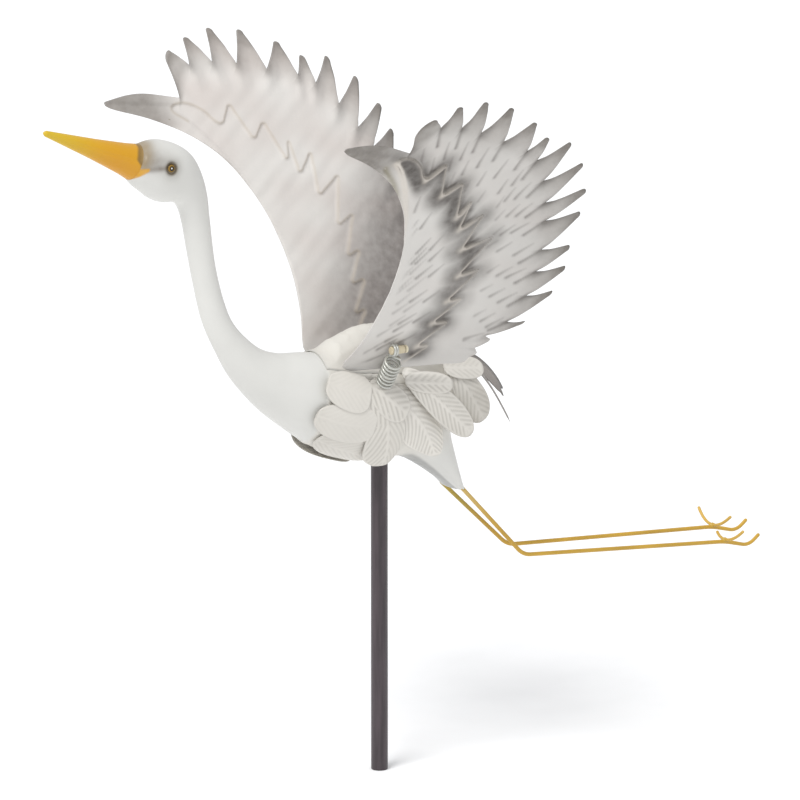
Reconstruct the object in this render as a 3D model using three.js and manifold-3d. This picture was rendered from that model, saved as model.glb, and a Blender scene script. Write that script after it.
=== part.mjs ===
import * as THREE from 'three';
import { mergeVertices } from 'three/addons/utils/BufferGeometryUtils.js';
import Module from 'manifold-3d';

// Sheet-metal egret in flight on a garden stake.
// Millimetres, +Z up. The origin is the centre of the stake's cut foot, the bird faces -X,
// and its left side, the side named left here, is -Y.

// Driving dimensions
const GAP = 0.3;
const POLE_DIAMETER = 16;
const POLE_TOP = 335;
const POLE_SIDES = 24;
const SHEET = 1.2;

// Spine of the shell from the bill seat to the leg end: x, z, half depth, half width.
const SPINE = [
  [-270, 609, 17, 16],
  [-262, 606, 22, 19],
  [-247, 601, 27, 22],
  [-232, 594, 28, 22],
  [-218, 583, 25, 19],
  [-209.5, 568, 18, 16],
  [-204, 550, 13.5, 13],
  [-199.5, 525, 12, 12],
  [-194, 495, 11.8, 11.8],
  [-187.5, 470, 12, 12],
  [-178.5, 447, 13, 13],
  [-165, 426, 15.5, 15],
  [-147, 406, 20, 19],
  [-125, 391, 27, 25],
  [-98, 379, 36, 31],
  [-65, 366, 44, 36],
  [-28, 356, 47, 39],
  [8, 348, 48, 39],
  [37, 330, 36, 33],
  [60, 301, 20, 25],
  [84, 264, 3.2, 19.5],
];
const SHELL_RINGS = 42;
const SHELL_SIDES = 16;

// Bill, a blunt cone: its length and the radii along it.
const BILL_LENGTH = 101;
const BILL_RADIUS = 16.5;
const BILL_TIP_RADIUS = 2.6;
const BILL_SIDES = 16;

// Eyes
const EYE_RADIUS = 4.2;
const EYE_FLATNESS = 0.6;
const EYE_CENTRE = [-242.5, 20.1, 603];

// Wing outline in the side view, x and z, before its lean is added.
const WING_TIP_TOP = [[-177, 635], [-142, 637.5], [-103, 629]];
const NOTCH_LINE = [
  [-103, 629], [-84, 653], [-59, 653], [-6, 639], [42, 619],
  [72, 576], [91, 528], [98, 479], [91, 451], [74, 434], [66, 412],
];
const WING_FOOT = [[66, 412], [61, 406], [38, 404], [0, 401], [-48, 397.5], [-61, 401]];
const LEADING_EDGE = [
  [-178, 631], [-140, 616], [-105, 596], [-78, 570], [-63, 543],
  [-52, 510], [-48, 472], [-53, 434], [-62, 407],
];
// Each spike of the trailing edge: its width along the notch line, its reach and its direction.
const SPIKES = [
  [33, 26, 106], [24, 24, 102], [25, 31, 94], [31, 32, 86],
  [33, 27, 76], [19, 21, 75], [28, 34, 62], [26, 39, 50],
  [21, 39, 37], [32, 36, 42], [24, 29, 32], [26, 32, 34],
  [29, 33, 33], [22, 25, 17], [14, 8, 16], [10, 4, -14],
];
const SPIKE_TIP_WIDTH = 4;
const NOTCH_MARGIN = 4;

// Lean of the wing sheet: its distance from the mid plane over a point of the side view.
const WING_FOOT_HEIGHT = 400;
const WING_FOOT_OFFSET = 38;
const LEAN_PER_HEIGHT = 0.493;
const LEAN_PER_LENGTH = 0.117;
const LEAN_BEND = [-4.3, 3.5, 2.8];
const WING_THICKNESS = 1.44;

// Covert row: how far across the wing its zigzag edge lies, from the tip to the foot.
const COVERT_EDGE = [0.85, 0.75, 0.6, 0.5, 0.5, 0.53, 0.6, 0.62, 0.66, 0.66, 0.66];
const COVERT_TOOTH = 0.14;
const COVERT_STEP = 0.03;
const COVERT_RISE = 2.2;
const COVERT_RUNOUT = 6;
const COLUMNS_PER_TOOTH = 4;

// The two wings hang a little differently on their springs: half the turn and half the shift.
const WING_PIVOT = [-22, 55, 412];
const WING_TURN = new THREE.Vector3(-3.1, 4.8, 1.3);
const WING_SHIFT = new THREE.Vector3(-2, 0, -5);

// Springs and the studs that they hold
const SPRING_TURNS = 5;
const SPRING_STEPS_PER_TURN = 9;
const SPRING_WIRE = 2.2;
const SPRING_RADIUS = 7;
const SPRING_FOOT = new THREE.Vector3(-20, 35, 380);
const SPRING_HEAD = new THREE.Vector3(-22, 58, 412);
const SPRING_FOOT_SHARE = 0.4;
const STUD_LENGTH = 18;
const STUD_RADIUS = 3.8;
const STUD_CENTRE = new THREE.Vector3(-17, 57, 422);

// Back plate: x, height of its ridge, half width and drop at its sides.
const BACK_PLATE = [
  [-76, 414.5, 24, 14],
  [-50, 421, 27, 24],
  [-22, 429, 27, 32],
  [10, 427, 27, 34],
  [45, 415, 26, 28],
  [78, 402, 20, 14],
  [98, 393, 10, 4],
];
const BACK_PLATE_COLUMNS = 8;
const BACK_PLATE_ROWS = 6;

// Flank plumage: distance along the spine, angle from the back, direction, length, width, layer.
const FLANK = {
  scale_shoulder: [-101, 77, -3, 50, 35, 4],
  scale_breast: [-102, 113, -6, 62, 34, 3],
  scale_belly: [-97, 147, 2, 73, 37, 2],
  leaf_side_upper: [-56, 79, 4, 52, 20, 3],
  leaf_side_lower: [-54, 86, 15, 54, 24, 2],
  scale_rear: [-20, 95, 78, 56, 44, 1],
  leaf_thigh: [-36, 76, 9, 98, 42, 0],
};
// The right belly plate is set further back than the left one.
const RIGHT_BELLY_SETBACK = 20;
const FLANK_LAYER = 1.9;
const FLANK_BASE = 1.8;
const FLANK_GIRTH = 43;
const FLANK_DATUM = 8;

// Tail fan: root x and z, direction below the horizontal, length, width, layer.
const FAN = {
  fan_lower: [4, 390, 43.5, 97, 30, 1],
  fan_rear: [58, 388, 60, 62, 32, 0],
  fan_upper: [2, 381, 9, 53, 20, 2],
  fan_top: [48, 388, 6, 44, 20, 3],
};
const FAN_OFFSET = 43;
const FAN_LAYER = 2;
const FAN_SHOULDER = 350;
const FAN_SHOULDER_BEND = 0.008;

// Central tail feathers: root, tip, width, arch above the straight line and roll.
const TAIL_LEFT = { root: [93, -6, 389], tip: [146, -6, 320], width: 20, arch: 7, roll: 23 };
const TAIL_RIGHT = { root: [96, 12, 385], tip: [153, 12, 343], width: 20, arch: 9, roll: 40 };

// Outline of every feather: half width at shares of its length, fuller towards the tip.
const FEATHER_SHARES = [0.01, 0.12, 0.3, 0.55, 0.78, 0.93, 0.995];
const FEATHER_ROWS = 3;
const FEATHER_ROOT_HALF = 0.92;
const FEATHER_TIP_HALF = 1.08;

// Legs: one wire each, from the shell's end to the tip of the middle toe.
const LEG_WIRE = 4;
const LEG_SPREAD = [17, 13, 10];
const LEFT_LEG_DROP = [0, 5, 11];
const KNEE = [158, 194];
const KNEE_RADIUS = 9;
const FOOT = [404, 179];
const TOE_BEND = [434, 171];
const TOE_TIP = [447, 181];
const TOE_REACH = 26;
const LEFT_INNER_TOE_REACH = 16;
const TOE_RISE = 13;
const TOE_WIRE = 3;
const TOE_LEAD = 3;
const LEG_STEPS = 34;
const WIRE_SIDES = 6;

const material = (hex, roughness, metalness = 0) =>
  new THREE.MeshStandardMaterial({ color: hex, roughness, metalness });
const FINISH = {
  white: material(0xe9e5dc, 0.5),
  feather: material(0xe4ded1, 0.55),
  wing: material(0xd6cfc9, 0.5),
  bill: material(0xe2a528, 0.4),
  eye: material(0x5a4420, 0.15),
  leg: material(0xcfa531, 0.45),
  spring: material(0xb9bab4, 0.35, 0.8),
  pole: material(0x4d4446, 0.45, 0.3),
};

const egret = new THREE.Group();

function add(name, geometry, finish) {
  const mesh = new THREE.Mesh(geometry, finish);
  mesh.name = name;
  egret.add(mesh);
}

// A closed geometry from points and triangles, with its faces turned outwards.
function solid(points, index) {
  let volume = 0;
  for (let i = 0; i < index.length; i += 3) {
    const [a, b, c] = [points[index[i]], points[index[i + 1]], points[index[i + 2]]];
    volume += a.dot(b.clone().cross(c));
  }
  if (volume < 0) {
    index.reverse();
  }
  const geometry = new THREE.BufferGeometry().setFromPoints(points);
  geometry.setIndex(index);
  geometry.computeVertexNormals();
  return geometry;
}

// Rings of points joined into a skin, closed by a fan at each end.
function loft(rings) {
  const sides = rings[0].length;
  const points = rings.flat();
  const index = [];
  for (let i = 0; i + 1 < rings.length; i++) {
    for (let j = 0; j < sides; j++) {
      const a = i * sides + j;
      const b = i * sides + ((j + 1) % sides);
      index.push(a, b, b + sides, a, b + sides, a + sides);
    }
  }
  const last = (rings.length - 1) * sides;
  for (let j = 1; j + 1 < sides; j++) {
    index.push(0, j + 1, j);
    index.push(last, last + j, last + j + 1);
  }
  return solid(points, index);
}

// A thin plate: its two faces are sampled on one grid and joined round the rim.
function plate(columns, rows, pointAt) {
  const points = [];
  for (const side of [0, 1]) {
    for (let i = 0; i <= columns; i++) {
      for (let j = 0; j <= rows; j++) {
        points.push(pointAt(i, j, side));
      }
    }
  }
  const id = (side, i, j) => (side * (columns + 1) + i) * (rows + 1) + j;
  const index = [];
  const quad = (a, b, c, d) => index.push(a, b, c, a, c, d);
  for (let i = 0; i < columns; i++) {
    for (let j = 0; j < rows; j++) {
      quad(id(0, i, j), id(0, i + 1, j), id(0, i + 1, j + 1), id(0, i, j + 1));
      quad(id(1, i, j), id(1, i, j + 1), id(1, i + 1, j + 1), id(1, i + 1, j));
    }
    quad(id(1, i, 0), id(1, i + 1, 0), id(0, i + 1, 0), id(0, i, 0));
    quad(id(0, i, rows), id(0, i + 1, rows), id(1, i + 1, rows), id(1, i, rows));
  }
  for (let j = 0; j < rows; j++) {
    quad(id(0, 0, j), id(0, 0, j + 1), id(1, 0, j + 1), id(1, 0, j));
    quad(id(1, columns, j), id(1, columns, j + 1), id(0, columns, j + 1), id(0, columns, j));
  }
  return solid(points, index);
}

function tube(path, radius, steps, sides) {
  const section = new THREE.Shape();
  for (let k = 0; k < sides; k++) {
    const turn = (2 * Math.PI * k) / sides;
    const corner = [radius * Math.cos(turn), radius * Math.sin(turn)];
    if (k === 0) {
      section.moveTo(...corner);
    } else {
      section.lineTo(...corner);
    }
  }
  return new THREE.ExtrudeGeometry(section, { extrudePath: path, steps, bevelEnabled: false });
}

// Boolean cut of one closed geometry by others.
const wasm = await Module();
wasm.setup();

function toManifold(geometry) {
  const bare = geometry.clone();
  bare.deleteAttribute('normal');
  bare.deleteAttribute('uv');
  const merged = mergeVertices(bare);
  return new wasm.Manifold(new wasm.Mesh({
    numProp: 3,
    vertProperties: new Float32Array(merged.attributes.position.array),
    triVerts: new Uint32Array(merged.index.array),
  }));
}

function cut(geometry, tools) {
  const result = tools.reduce((rest, tool) => rest.subtract(toManifold(tool)), toManifold(geometry));
  const mesh = result.getMesh();
  const cutGeometry = new THREE.BufferGeometry();
  cutGeometry.setAttribute('position', new THREE.BufferAttribute(mesh.vertProperties, 3));
  cutGeometry.setIndex(new THREE.BufferAttribute(mesh.triVerts, 1));
  cutGeometry.computeVertexNormals();
  return cutGeometry;
}

// Spine and the shell's surface round it
const smooth = (points) => new THREE.CatmullRomCurve3(points, false, 'catmullrom');
const spineCurve = smooth(SPINE.map(([x, z]) => new THREE.Vector3(x, 0, z)));
const girthCurve = smooth(SPINE.map(([, , depth, width]) => new THREE.Vector3(depth, width, 0)));
const ACROSS = new THREE.Vector3(0, 1, 0);

// A point of the shell: t along the spine, the angle from the back in radians, and a distance off it.
function shellPoint(t, angle, side, off = 0) {
  const centre = spineCurve.getPoint(t);
  const heading = spineCurve.getTangent(t);
  const dorsal = new THREE.Vector3(-heading.z, 0, heading.x).normalize();
  const { x: depth, y: width } = girthCurve.getPoint(t);
  const up = Math.cos(angle);
  const out = Math.sin(angle) * side;
  const normal = dorsal.clone().multiplyScalar(up / depth).addScaledVector(ACROSS, out / width).normalize();
  centre.addScaledVector(dorsal, depth * up).addScaledVector(ACROSS, width * out);
  return centre.addScaledVector(normal, off);
}

function shell() {
  const rings = [];
  for (let i = 0; i <= SHELL_RINGS; i++) {
    const ring = [];
    for (let j = 0; j < SHELL_SIDES; j++) {
      ring.push(shellPoint(i / SHELL_RINGS, (2 * Math.PI * j) / SHELL_SIDES, 1));
    }
    rings.push(ring);
  }
  return loft(rings);
}

// Bill, set square on the shell's first ring
const billSeat = spineCurve.getPoint(0);
const billAxis = spineCurve.getTangent(0).negate();

function bill() {
  const outline = [
    [0, 0], [BILL_RADIUS, 0], [BILL_RADIUS * 0.86, 12], [BILL_RADIUS * 0.56, 46],
    [BILL_TIP_RADIUS, BILL_LENGTH - 2], [0, BILL_LENGTH],
  ];
  const geometry = new THREE.LatheGeometry(outline.map(([r, h]) => new THREE.Vector2(r, h)), BILL_SIDES);
  const turn = new THREE.Quaternion().setFromUnitVectors(new THREE.Vector3(0, 1, 0), billAxis);
  geometry.applyQuaternion(turn);
  const seat = billSeat.clone().addScaledVector(billAxis, GAP);
  return geometry.translate(seat.x, seat.y, seat.z);
}

function eyeBall(side, radius) {
  const [x, y, z] = EYE_CENTRE;
  const geometry = new THREE.SphereGeometry(radius, 12, 6);
  return geometry.scale(1, EYE_FLATNESS, 1).translate(x, side * y, z);
}

// Wing: a grid between the leading edge and the spiked rim
const flat = (points) => points.map(([x, z]) => new THREE.Vector3(x, 0, z));

// Stations of the rim: the outline point, the point of the smooth notch line under it, and the run.
function wingRim() {
  const notchCurve = new THREE.CatmullRomCurve3(flat(NOTCH_LINE), false, 'centripetal');
  const total = SPIKES.reduce((sum, [width]) => sum + width, 0);
  const stations = [];
  let run = 0;
  const addEdge = (points) => {
    for (const point of flat(points)) {
      const last = stations.at(-1);
      run += last ? last.point.distanceTo(point) : 0;
      stations.push({ point, base: point, run });
    }
  };
  addEdge(WING_TIP_TOP.slice(0, -1));
  run += flat(WING_TIP_TOP)[1].distanceTo(flat(WING_TIP_TOP)[2]);
  let spent = 0;
  for (const [width, reach, degrees] of SPIKES) {
    const start = notchCurve.getPointAt(spent / total);
    const end = notchCurve.getPointAt(Math.min((spent + width) / total, 1));
    const turn = THREE.MathUtils.degToRad(degrees);
    const heading = new THREE.Vector3(Math.cos(turn), 0, Math.sin(turn));
    const tip = start.clone().lerp(end, 0.5).addScaledVector(heading, reach);
    const breadth = end.clone().sub(start).setLength(Math.min(SPIKE_TIP_WIDTH, width / 3) / 2);
    stations.push({ point: start, base: start, run });
    for (const [share, sign] of [[0.35, -1], [0.65, 1]]) {
      const point = tip.clone().addScaledVector(breadth, sign);
      stations.push({ point, base: start.clone().lerp(end, share), run: run + share * width });
    }
    spent += width;
    run += width;
  }
  stations.push({ point: flat(WING_FOOT)[0], base: flat(WING_FOOT)[0], run });
  addEdge(WING_FOOT.slice(1));
  return stations;
}

const lean = (x, z) => {
  const up = (z - WING_FOOT_HEIGHT) / 100;
  const back = x / 100;
  const bend = LEAN_BEND[0] * up * back + LEAN_BEND[1] * back * back + LEAN_BEND[2] * up * up;
  return WING_FOOT_OFFSET + 100 * (LEAN_PER_HEIGHT * up + LEAN_PER_LENGTH * back) + bend;
};

// Value of a list of evenly spaced stations at a fraction of its length.
function along(list, fraction) {
  const place = fraction * (list.length - 1);
  const low = Math.min(Math.floor(place), list.length - 2);
  return THREE.MathUtils.lerp(list[low], list[low + 1], place - low);
}

// Hang a point of the right wing as that side's wing hangs. The left wing is the mirrored one.
function hang(point, side) {
  const pivot = new THREE.Vector3(...WING_PIVOT);
  const turn = WING_TURN.clone().multiplyScalar(-side);
  const angle = THREE.MathUtils.degToRad(turn.length());
  const hung = point.clone().sub(pivot).applyAxisAngle(turn.normalize(), angle).add(pivot);
  hung.addScaledVector(WING_SHIFT, -side);
  hung.y *= side;
  return hung;
}

function wing(side) {
  const rim = wingRim();
  const columns = rim.length - 1;
  const edge = new THREE.CatmullRomCurve3(flat(LEADING_EDGE), false, 'centripetal');
  const pointAt = (i, j, face) => {
    const fraction = rim[i].run / rim[columns].run;
    const start = edge.getPointAt(fraction);
    const length = start.distanceTo(rim[i].base);
    const base = rim[i].base.clone().lerp(start, Math.min(NOTCH_MARGIN / length, 0.3));
    const tooth = Math.abs(((i % COLUMNS_PER_TOOTH) / COLUMNS_PER_TOOTH) * 2 - 1);
    const covert = along(COVERT_EDGE, fraction) - COVERT_TOOTH * tooth;
    const shares = [0, covert / 2, covert, covert + COVERT_STEP, 1];
    const rises = [0, 0.8, 1, 0, 0, 0];
    const fade = Math.min(1, COVERT_RUNOUT * fraction, COVERT_RUNOUT * (1 - fraction));
    const place = j === shares.length ? rim[i].point.clone() : start.clone().lerp(base, shares[j]);
    const faceOffset = (0.5 - face) * WING_THICKNESS;
    place.y = lean(place.x, place.z) + COVERT_RISE * rises[j] * fade + faceOffset;
    return hang(place, side);
  };
  return plate(columns, 5, pointAt);
}

// Spring: a helix from the flank to the stud
class Helix extends THREE.Curve {
  constructor(foot, head, radius, turns) {
    super();
    this.foot = foot;
    this.rise = head.clone().sub(foot);
    this.radius = radius;
    this.turns = turns;
    this.sideways = new THREE.Vector3(1, 0, 0).cross(this.rise).normalize();
    this.forward = this.rise.clone().cross(this.sideways).normalize();
  }

  getPoint(t, target = new THREE.Vector3()) {
    const turn = 2 * Math.PI * this.turns * t;
    target.copy(this.foot).addScaledVector(this.rise, t);
    target.addScaledVector(this.forward, this.radius * Math.cos(turn));
    return target.addScaledVector(this.sideways, this.radius * Math.sin(turn));
  }
}

function spring(side) {
  const foot = SPRING_FOOT.clone().addScaledVector(WING_SHIFT, -side * SPRING_FOOT_SHARE);
  foot.y *= side;
  const helix = new Helix(foot, hang(SPRING_HEAD, side), SPRING_RADIUS, SPRING_TURNS);
  return tube(helix, SPRING_WIRE / 2, SPRING_TURNS * SPRING_STEPS_PER_TURN, 5);
}

function stud(side) {
  const geometry = new THREE.CylinderGeometry(STUD_RADIUS, STUD_RADIUS, STUD_LENGTH, 12);
  geometry.rotateZ(Math.PI / 2);
  const place = hang(STUD_CENTRE, side);
  return geometry.translate(place.x, place.y, place.z);
}

function backPlate() {
  const ridge = smooth(BACK_PLATE.map(([x, z]) => new THREE.Vector3(x, 0, z)));
  const girth = smooth(BACK_PLATE.map(([, , width, drop]) => new THREE.Vector3(width, drop, 0)));
  return plate(BACK_PLATE_COLUMNS, BACK_PLATE_ROWS, (i, j, face) => {
    const top = ridge.getPoint(i / BACK_PLATE_COLUMNS);
    const { x: halfWidth, y: drop } = girth.getPoint(i / BACK_PLATE_COLUMNS);
    const across = (2 * j) / BACK_PLATE_ROWS - 1;
    const out = face === 0 ? SHEET : 0;
    return new THREE.Vector3(top.x, across * (halfWidth + out), top.z + out - drop * across * across);
  });
}

// Half the width of a feather at a share of its length, as a part of its greatest half width.
function featherHalf(share) {
  const round = Math.sqrt(Math.max(0, 1 - (2 * share - 1) ** 2));
  return round * THREE.MathUtils.lerp(FEATHER_ROOT_HALF, FEATHER_TIP_HALF, share);
}

// Flank plumage, laid in layers on the shell
const spineLength = spineCurve.getLength();

// Distance along the spine to the torso's widest station, from which the plumage is measured.
function runToDatum() {
  const steps = 200;
  const end = SPINE.findIndex(([x]) => x === FLANK_DATUM) / (SPINE.length - 1);
  let run = 0;
  for (let k = 0; k < steps; k++) {
    run += spineCurve.getPoint((end * k) / steps).distanceTo(spineCurve.getPoint((end * (k + 1)) / steps));
  }
  return run;
}
const datumRun = runToDatum();

function flankFeather([run, degrees, heading, length, width, layer], side) {
  const turn = THREE.MathUtils.degToRad(heading);
  const columns = FEATHER_SHARES.length - 1;
  return plate(columns, FEATHER_ROWS, (i, j, face) => {
    const share = FEATHER_SHARES[i];
    const ahead = share * length;
    const across = ((2 * j) / FEATHER_ROWS - 1) * (width / 2) * featherHalf(share);
    const alongSpine = datumRun + run + ahead * Math.cos(turn) - across * Math.sin(turn);
    const down = ahead * Math.sin(turn) + across * Math.cos(turn);
    const angle = THREE.MathUtils.degToRad(degrees) + down / FLANK_GIRTH;
    const t = spineCurve.getUtoTmapping(Math.min(1, alongSpine / spineLength));
    const off = FLANK_BASE + layer * FLANK_LAYER + (face === 0 ? SHEET : 0);
    return shellPoint(t, angle, side, off);
  });
}

// Tail fan, laid in layers on a sheet that stands off the flank
function fanFeather([x, z, below, length, width, layer], side) {
  const turn = THREE.MathUtils.degToRad(below);
  const columns = FEATHER_SHARES.length - 1;
  return plate(columns, FEATHER_ROWS, (i, j, face) => {
    const share = FEATHER_SHARES[i];
    const across = ((2 * j) / FEATHER_ROWS - 1) * (width / 2) * featherHalf(share);
    const px = x + share * length * Math.cos(turn) + across * Math.sin(turn);
    const pz = z - share * length * Math.sin(turn) + across * Math.cos(turn);
    const inward = FAN_SHOULDER_BEND * Math.max(0, pz - FAN_SHOULDER) ** 2;
    const off = FAN_OFFSET + layer * FAN_LAYER + (face === 0 ? SHEET : 0) - inward;
    return new THREE.Vector3(px, side * off, pz);
  });
}

function tailFeather({ root, tip, width, arch, roll }) {
  const start = new THREE.Vector3(...root);
  const end = new THREE.Vector3(...tip);
  const run = end.clone().sub(start).normalize();
  const level = new THREE.Vector3(0, 0, 1).cross(run).normalize();
  const breadth = level.applyAxisAngle(run, THREE.MathUtils.degToRad(roll));
  const normal = run.clone().cross(breadth).normalize();
  const columns = FEATHER_SHARES.length - 1;
  return plate(columns, 2, (i, j, face) => {
    const share = FEATHER_SHARES[i];
    const across = (j - 1) * (width / 2) * featherHalf(share);
    const point = start.clone().lerp(end, share).addScaledVector(breadth, across);
    point.z += arch * 4 * share * (1 - share);
    return point.addScaledVector(normal, (face - 0.5) * SHEET);
  });
}

// Legs
const shellEnd = spineCurve.getPoint(1);

function legPoints(side) {
  const drop = side < 0 ? LEFT_LEG_DROP : [0, 0, 0];
  const [hip, knee, foot] = LEG_SPREAD.map((spread) => spread * side);
  const start = new THREE.Vector3(shellEnd.x, hip, shellEnd.z);
  const bend = new THREE.Vector3(KNEE[0], knee, KNEE[1] - drop[1]);
  const ankle = new THREE.Vector3(FOOT[0], foot, FOOT[1] - drop[2]);
  const toeBend = new THREE.Vector3(TOE_BEND[0], foot, TOE_BEND[1] - drop[2]);
  const toeTip = new THREE.Vector3(TOE_TIP[0], foot, TOE_TIP[1] - drop[2]);
  return { start, bend, ankle, toeBend, toeTip };
}

// A path of straight runs whose corners are rounded by curves.
function bentWire(points, radius) {
  const path = new THREE.CurvePath();
  let from = points[0];
  for (let i = 1; i + 1 < points.length; i++) {
    const corner = points[i];
    const before = corner.clone().add(points[i - 1].clone().sub(corner).setLength(radius));
    const after = corner.clone().add(points[i + 1].clone().sub(corner).setLength(radius));
    path.add(new THREE.LineCurve3(from, before));
    path.add(new THREE.QuadraticBezierCurve3(before, corner, after));
    from = after;
  }
  path.add(new THREE.LineCurve3(from, points[points.length - 1]));
  return path;
}

function leg(side) {
  const { start, bend, ankle, toeBend, toeTip } = legPoints(side);
  const clear = start.clone().add(bend.clone().sub(start).setLength(GAP + LEG_WIRE / 4));
  const path = bentWire([clear, bend, ankle, toeBend, toeTip], KNEE_RADIUS);
  return tube(path, LEG_WIRE / 2, LEG_STEPS, WIRE_SIDES);
}

// The cross wire lies on the leg wire and is notched to sit down on it.
function crossToes(side) {
  const { bend, ankle, toeBend } = legPoints(side);
  const innerReach = side < 0 ? LEFT_INNER_TOE_REACH : TOE_REACH;
  const middle = ankle.clone().add(new THREE.Vector3(0, 0, LEG_WIRE / 2));
  const tipAt = (reach) => {
    const rise = TOE_RISE * (reach / TOE_REACH) ** 2;
    return middle.clone().add(new THREE.Vector3(TOE_LEAD, side * reach, rise));
  };
  const handleAt = (tip) => middle.clone().setY((middle.y + tip.y) / 2);
  const [outer, inner] = [tipAt(TOE_REACH), tipAt(-innerReach)];
  const path = new THREE.CurvePath();
  path.add(new THREE.QuadraticBezierCurve3(outer, handleAt(outer), middle));
  path.add(new THREE.QuadraticBezierCurve3(middle, handleAt(inner), inner));
  const notch = tube(bentWire([bend, ankle, toeBend], KNEE_RADIUS), LEG_WIRE / 2 + 2 * GAP, 10, WIRE_SIDES);
  return cut(tube(path, TOE_WIRE / 2, 14, WIRE_SIDES), [notch]);
}

// Assembly
const pole = new THREE.CylinderGeometry(POLE_DIAMETER / 2, POLE_DIAMETER / 2, POLE_TOP, POLE_SIDES);
pole.rotateX(Math.PI / 2).translate(0, 0, POLE_TOP / 2);
add('pole', pole, FINISH.pole);

const socketRadius = POLE_DIAMETER / 2 + GAP;
const poleSocket = new THREE.CylinderGeometry(socketRadius, socketRadius, POLE_TOP + GAP, POLE_SIDES);
poleSocket.rotateX(Math.PI / 2).translate(0, 0, (POLE_TOP + GAP) / 2);
const eyeSockets = [-1, 1].map((side) => eyeBall(side, EYE_RADIUS + GAP / EYE_FLATNESS));
add('body', cut(shell(), [poleSocket, ...eyeSockets]), FINISH.white);
add('bill', bill(), FINISH.bill);
add('back_plate', backPlate(), FINISH.white);

for (const [label, side] of [['left', -1], ['right', 1]]) {
  add(`eye_${label}`, eyeBall(side, EYE_RADIUS), FINISH.eye);
  add(`wing_${label}`, wing(side), FINISH.wing);
  add(`spring_${label}`, spring(side), FINISH.spring);
  add(`stud_${label}`, stud(side), FINISH.wing);
  for (const [name, [run, ...shape]] of Object.entries(FLANK)) {
    const setback = name === 'scale_belly' && side > 0 ? RIGHT_BELLY_SETBACK : 0;
    add(`${name}_${label}`, flankFeather([run + setback, ...shape], side), FINISH.feather);
  }
  for (const [name, feather] of Object.entries(FAN)) {
    add(`${name}_${label}`, fanFeather(feather, side), FINISH.feather);
  }
  add(`leg_${label}`, leg(side), FINISH.leg);
  add(`toes_${label}`, crossToes(side), FINISH.leg);
}
add('tail_left', tailFeather(TAIL_LEFT), FINISH.feather);
add('tail_right', tailFeather(TAIL_RIGHT), FINISH.feather);

export default egret;
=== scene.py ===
"""Egret yard stake: painted sheet metal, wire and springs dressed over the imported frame.

Metres, +Z up, the bird faces -X and its left side is -Y. Sizes below are in millimetres.
"""

import math

import bpy
import numpy as np
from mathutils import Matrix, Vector
from mathutils.kdtree import KDTree


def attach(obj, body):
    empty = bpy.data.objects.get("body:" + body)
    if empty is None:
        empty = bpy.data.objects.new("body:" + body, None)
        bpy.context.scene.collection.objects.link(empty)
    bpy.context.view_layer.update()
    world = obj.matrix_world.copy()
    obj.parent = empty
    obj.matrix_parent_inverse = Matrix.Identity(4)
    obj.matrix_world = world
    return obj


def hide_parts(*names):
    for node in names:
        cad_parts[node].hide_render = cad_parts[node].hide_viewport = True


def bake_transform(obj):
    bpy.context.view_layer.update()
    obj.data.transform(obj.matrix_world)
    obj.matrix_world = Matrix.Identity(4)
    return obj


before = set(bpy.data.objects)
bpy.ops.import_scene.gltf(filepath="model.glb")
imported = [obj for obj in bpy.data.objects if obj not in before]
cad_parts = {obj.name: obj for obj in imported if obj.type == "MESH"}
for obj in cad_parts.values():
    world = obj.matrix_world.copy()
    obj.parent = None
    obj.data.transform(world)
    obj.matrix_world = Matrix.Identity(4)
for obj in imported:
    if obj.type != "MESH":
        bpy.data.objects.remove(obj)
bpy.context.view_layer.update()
MM = 0.001

# Camera and studio
CAMERA_PLACE = Vector((-3129.3, -4503.0, 1522.3))
CAMERA_TARGET = Vector((57.51, 48.30, 341.33))
LENS = 270.0
SUN_WAY = Vector((0.55, 0.22, -0.8))
SUN_STRENGTH = 1.95
SUN_SOFTNESS = math.radians(28)
SKY = (0.97, 0.98, 1.0, 1.0)
SKY_STRENGTH = 0.74

scene = bpy.context.scene
scene.view_settings.view_transform = "Standard"
scene.view_settings.look = "None"


def add(name, data):
    """A new object in the scene."""
    made = bpy.data.objects.new(name, data)
    scene.collection.objects.link(made)
    return made


def aimed(way):
    """The turn that points a camera or a lamp along a direction."""
    return way.to_track_quat("-Z", "Y").to_euler()


camera_data = bpy.data.cameras.new("camera")
camera_data.lens = LENS
camera_data.sensor_width = 36.0
camera_data.clip_end = 50.0
camera = add("camera", camera_data)
camera.location = CAMERA_PLACE * MM
camera.rotation_euler = aimed(CAMERA_TARGET - CAMERA_PLACE)
scene.camera = camera

sun_data = bpy.data.lights.new("key", "SUN")
sun_data.energy = SUN_STRENGTH
sun_data.angle = SUN_SOFTNESS
add("key", sun_data).rotation_euler = aimed(SUN_WAY)

world = bpy.data.worlds.new("studio")
scene.world = world
world.use_nodes = True
sky = world.node_tree.nodes["Background"].inputs
sky["Color"].default_value = SKY
sky["Strength"].default_value = SKY_STRENGTH


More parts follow.
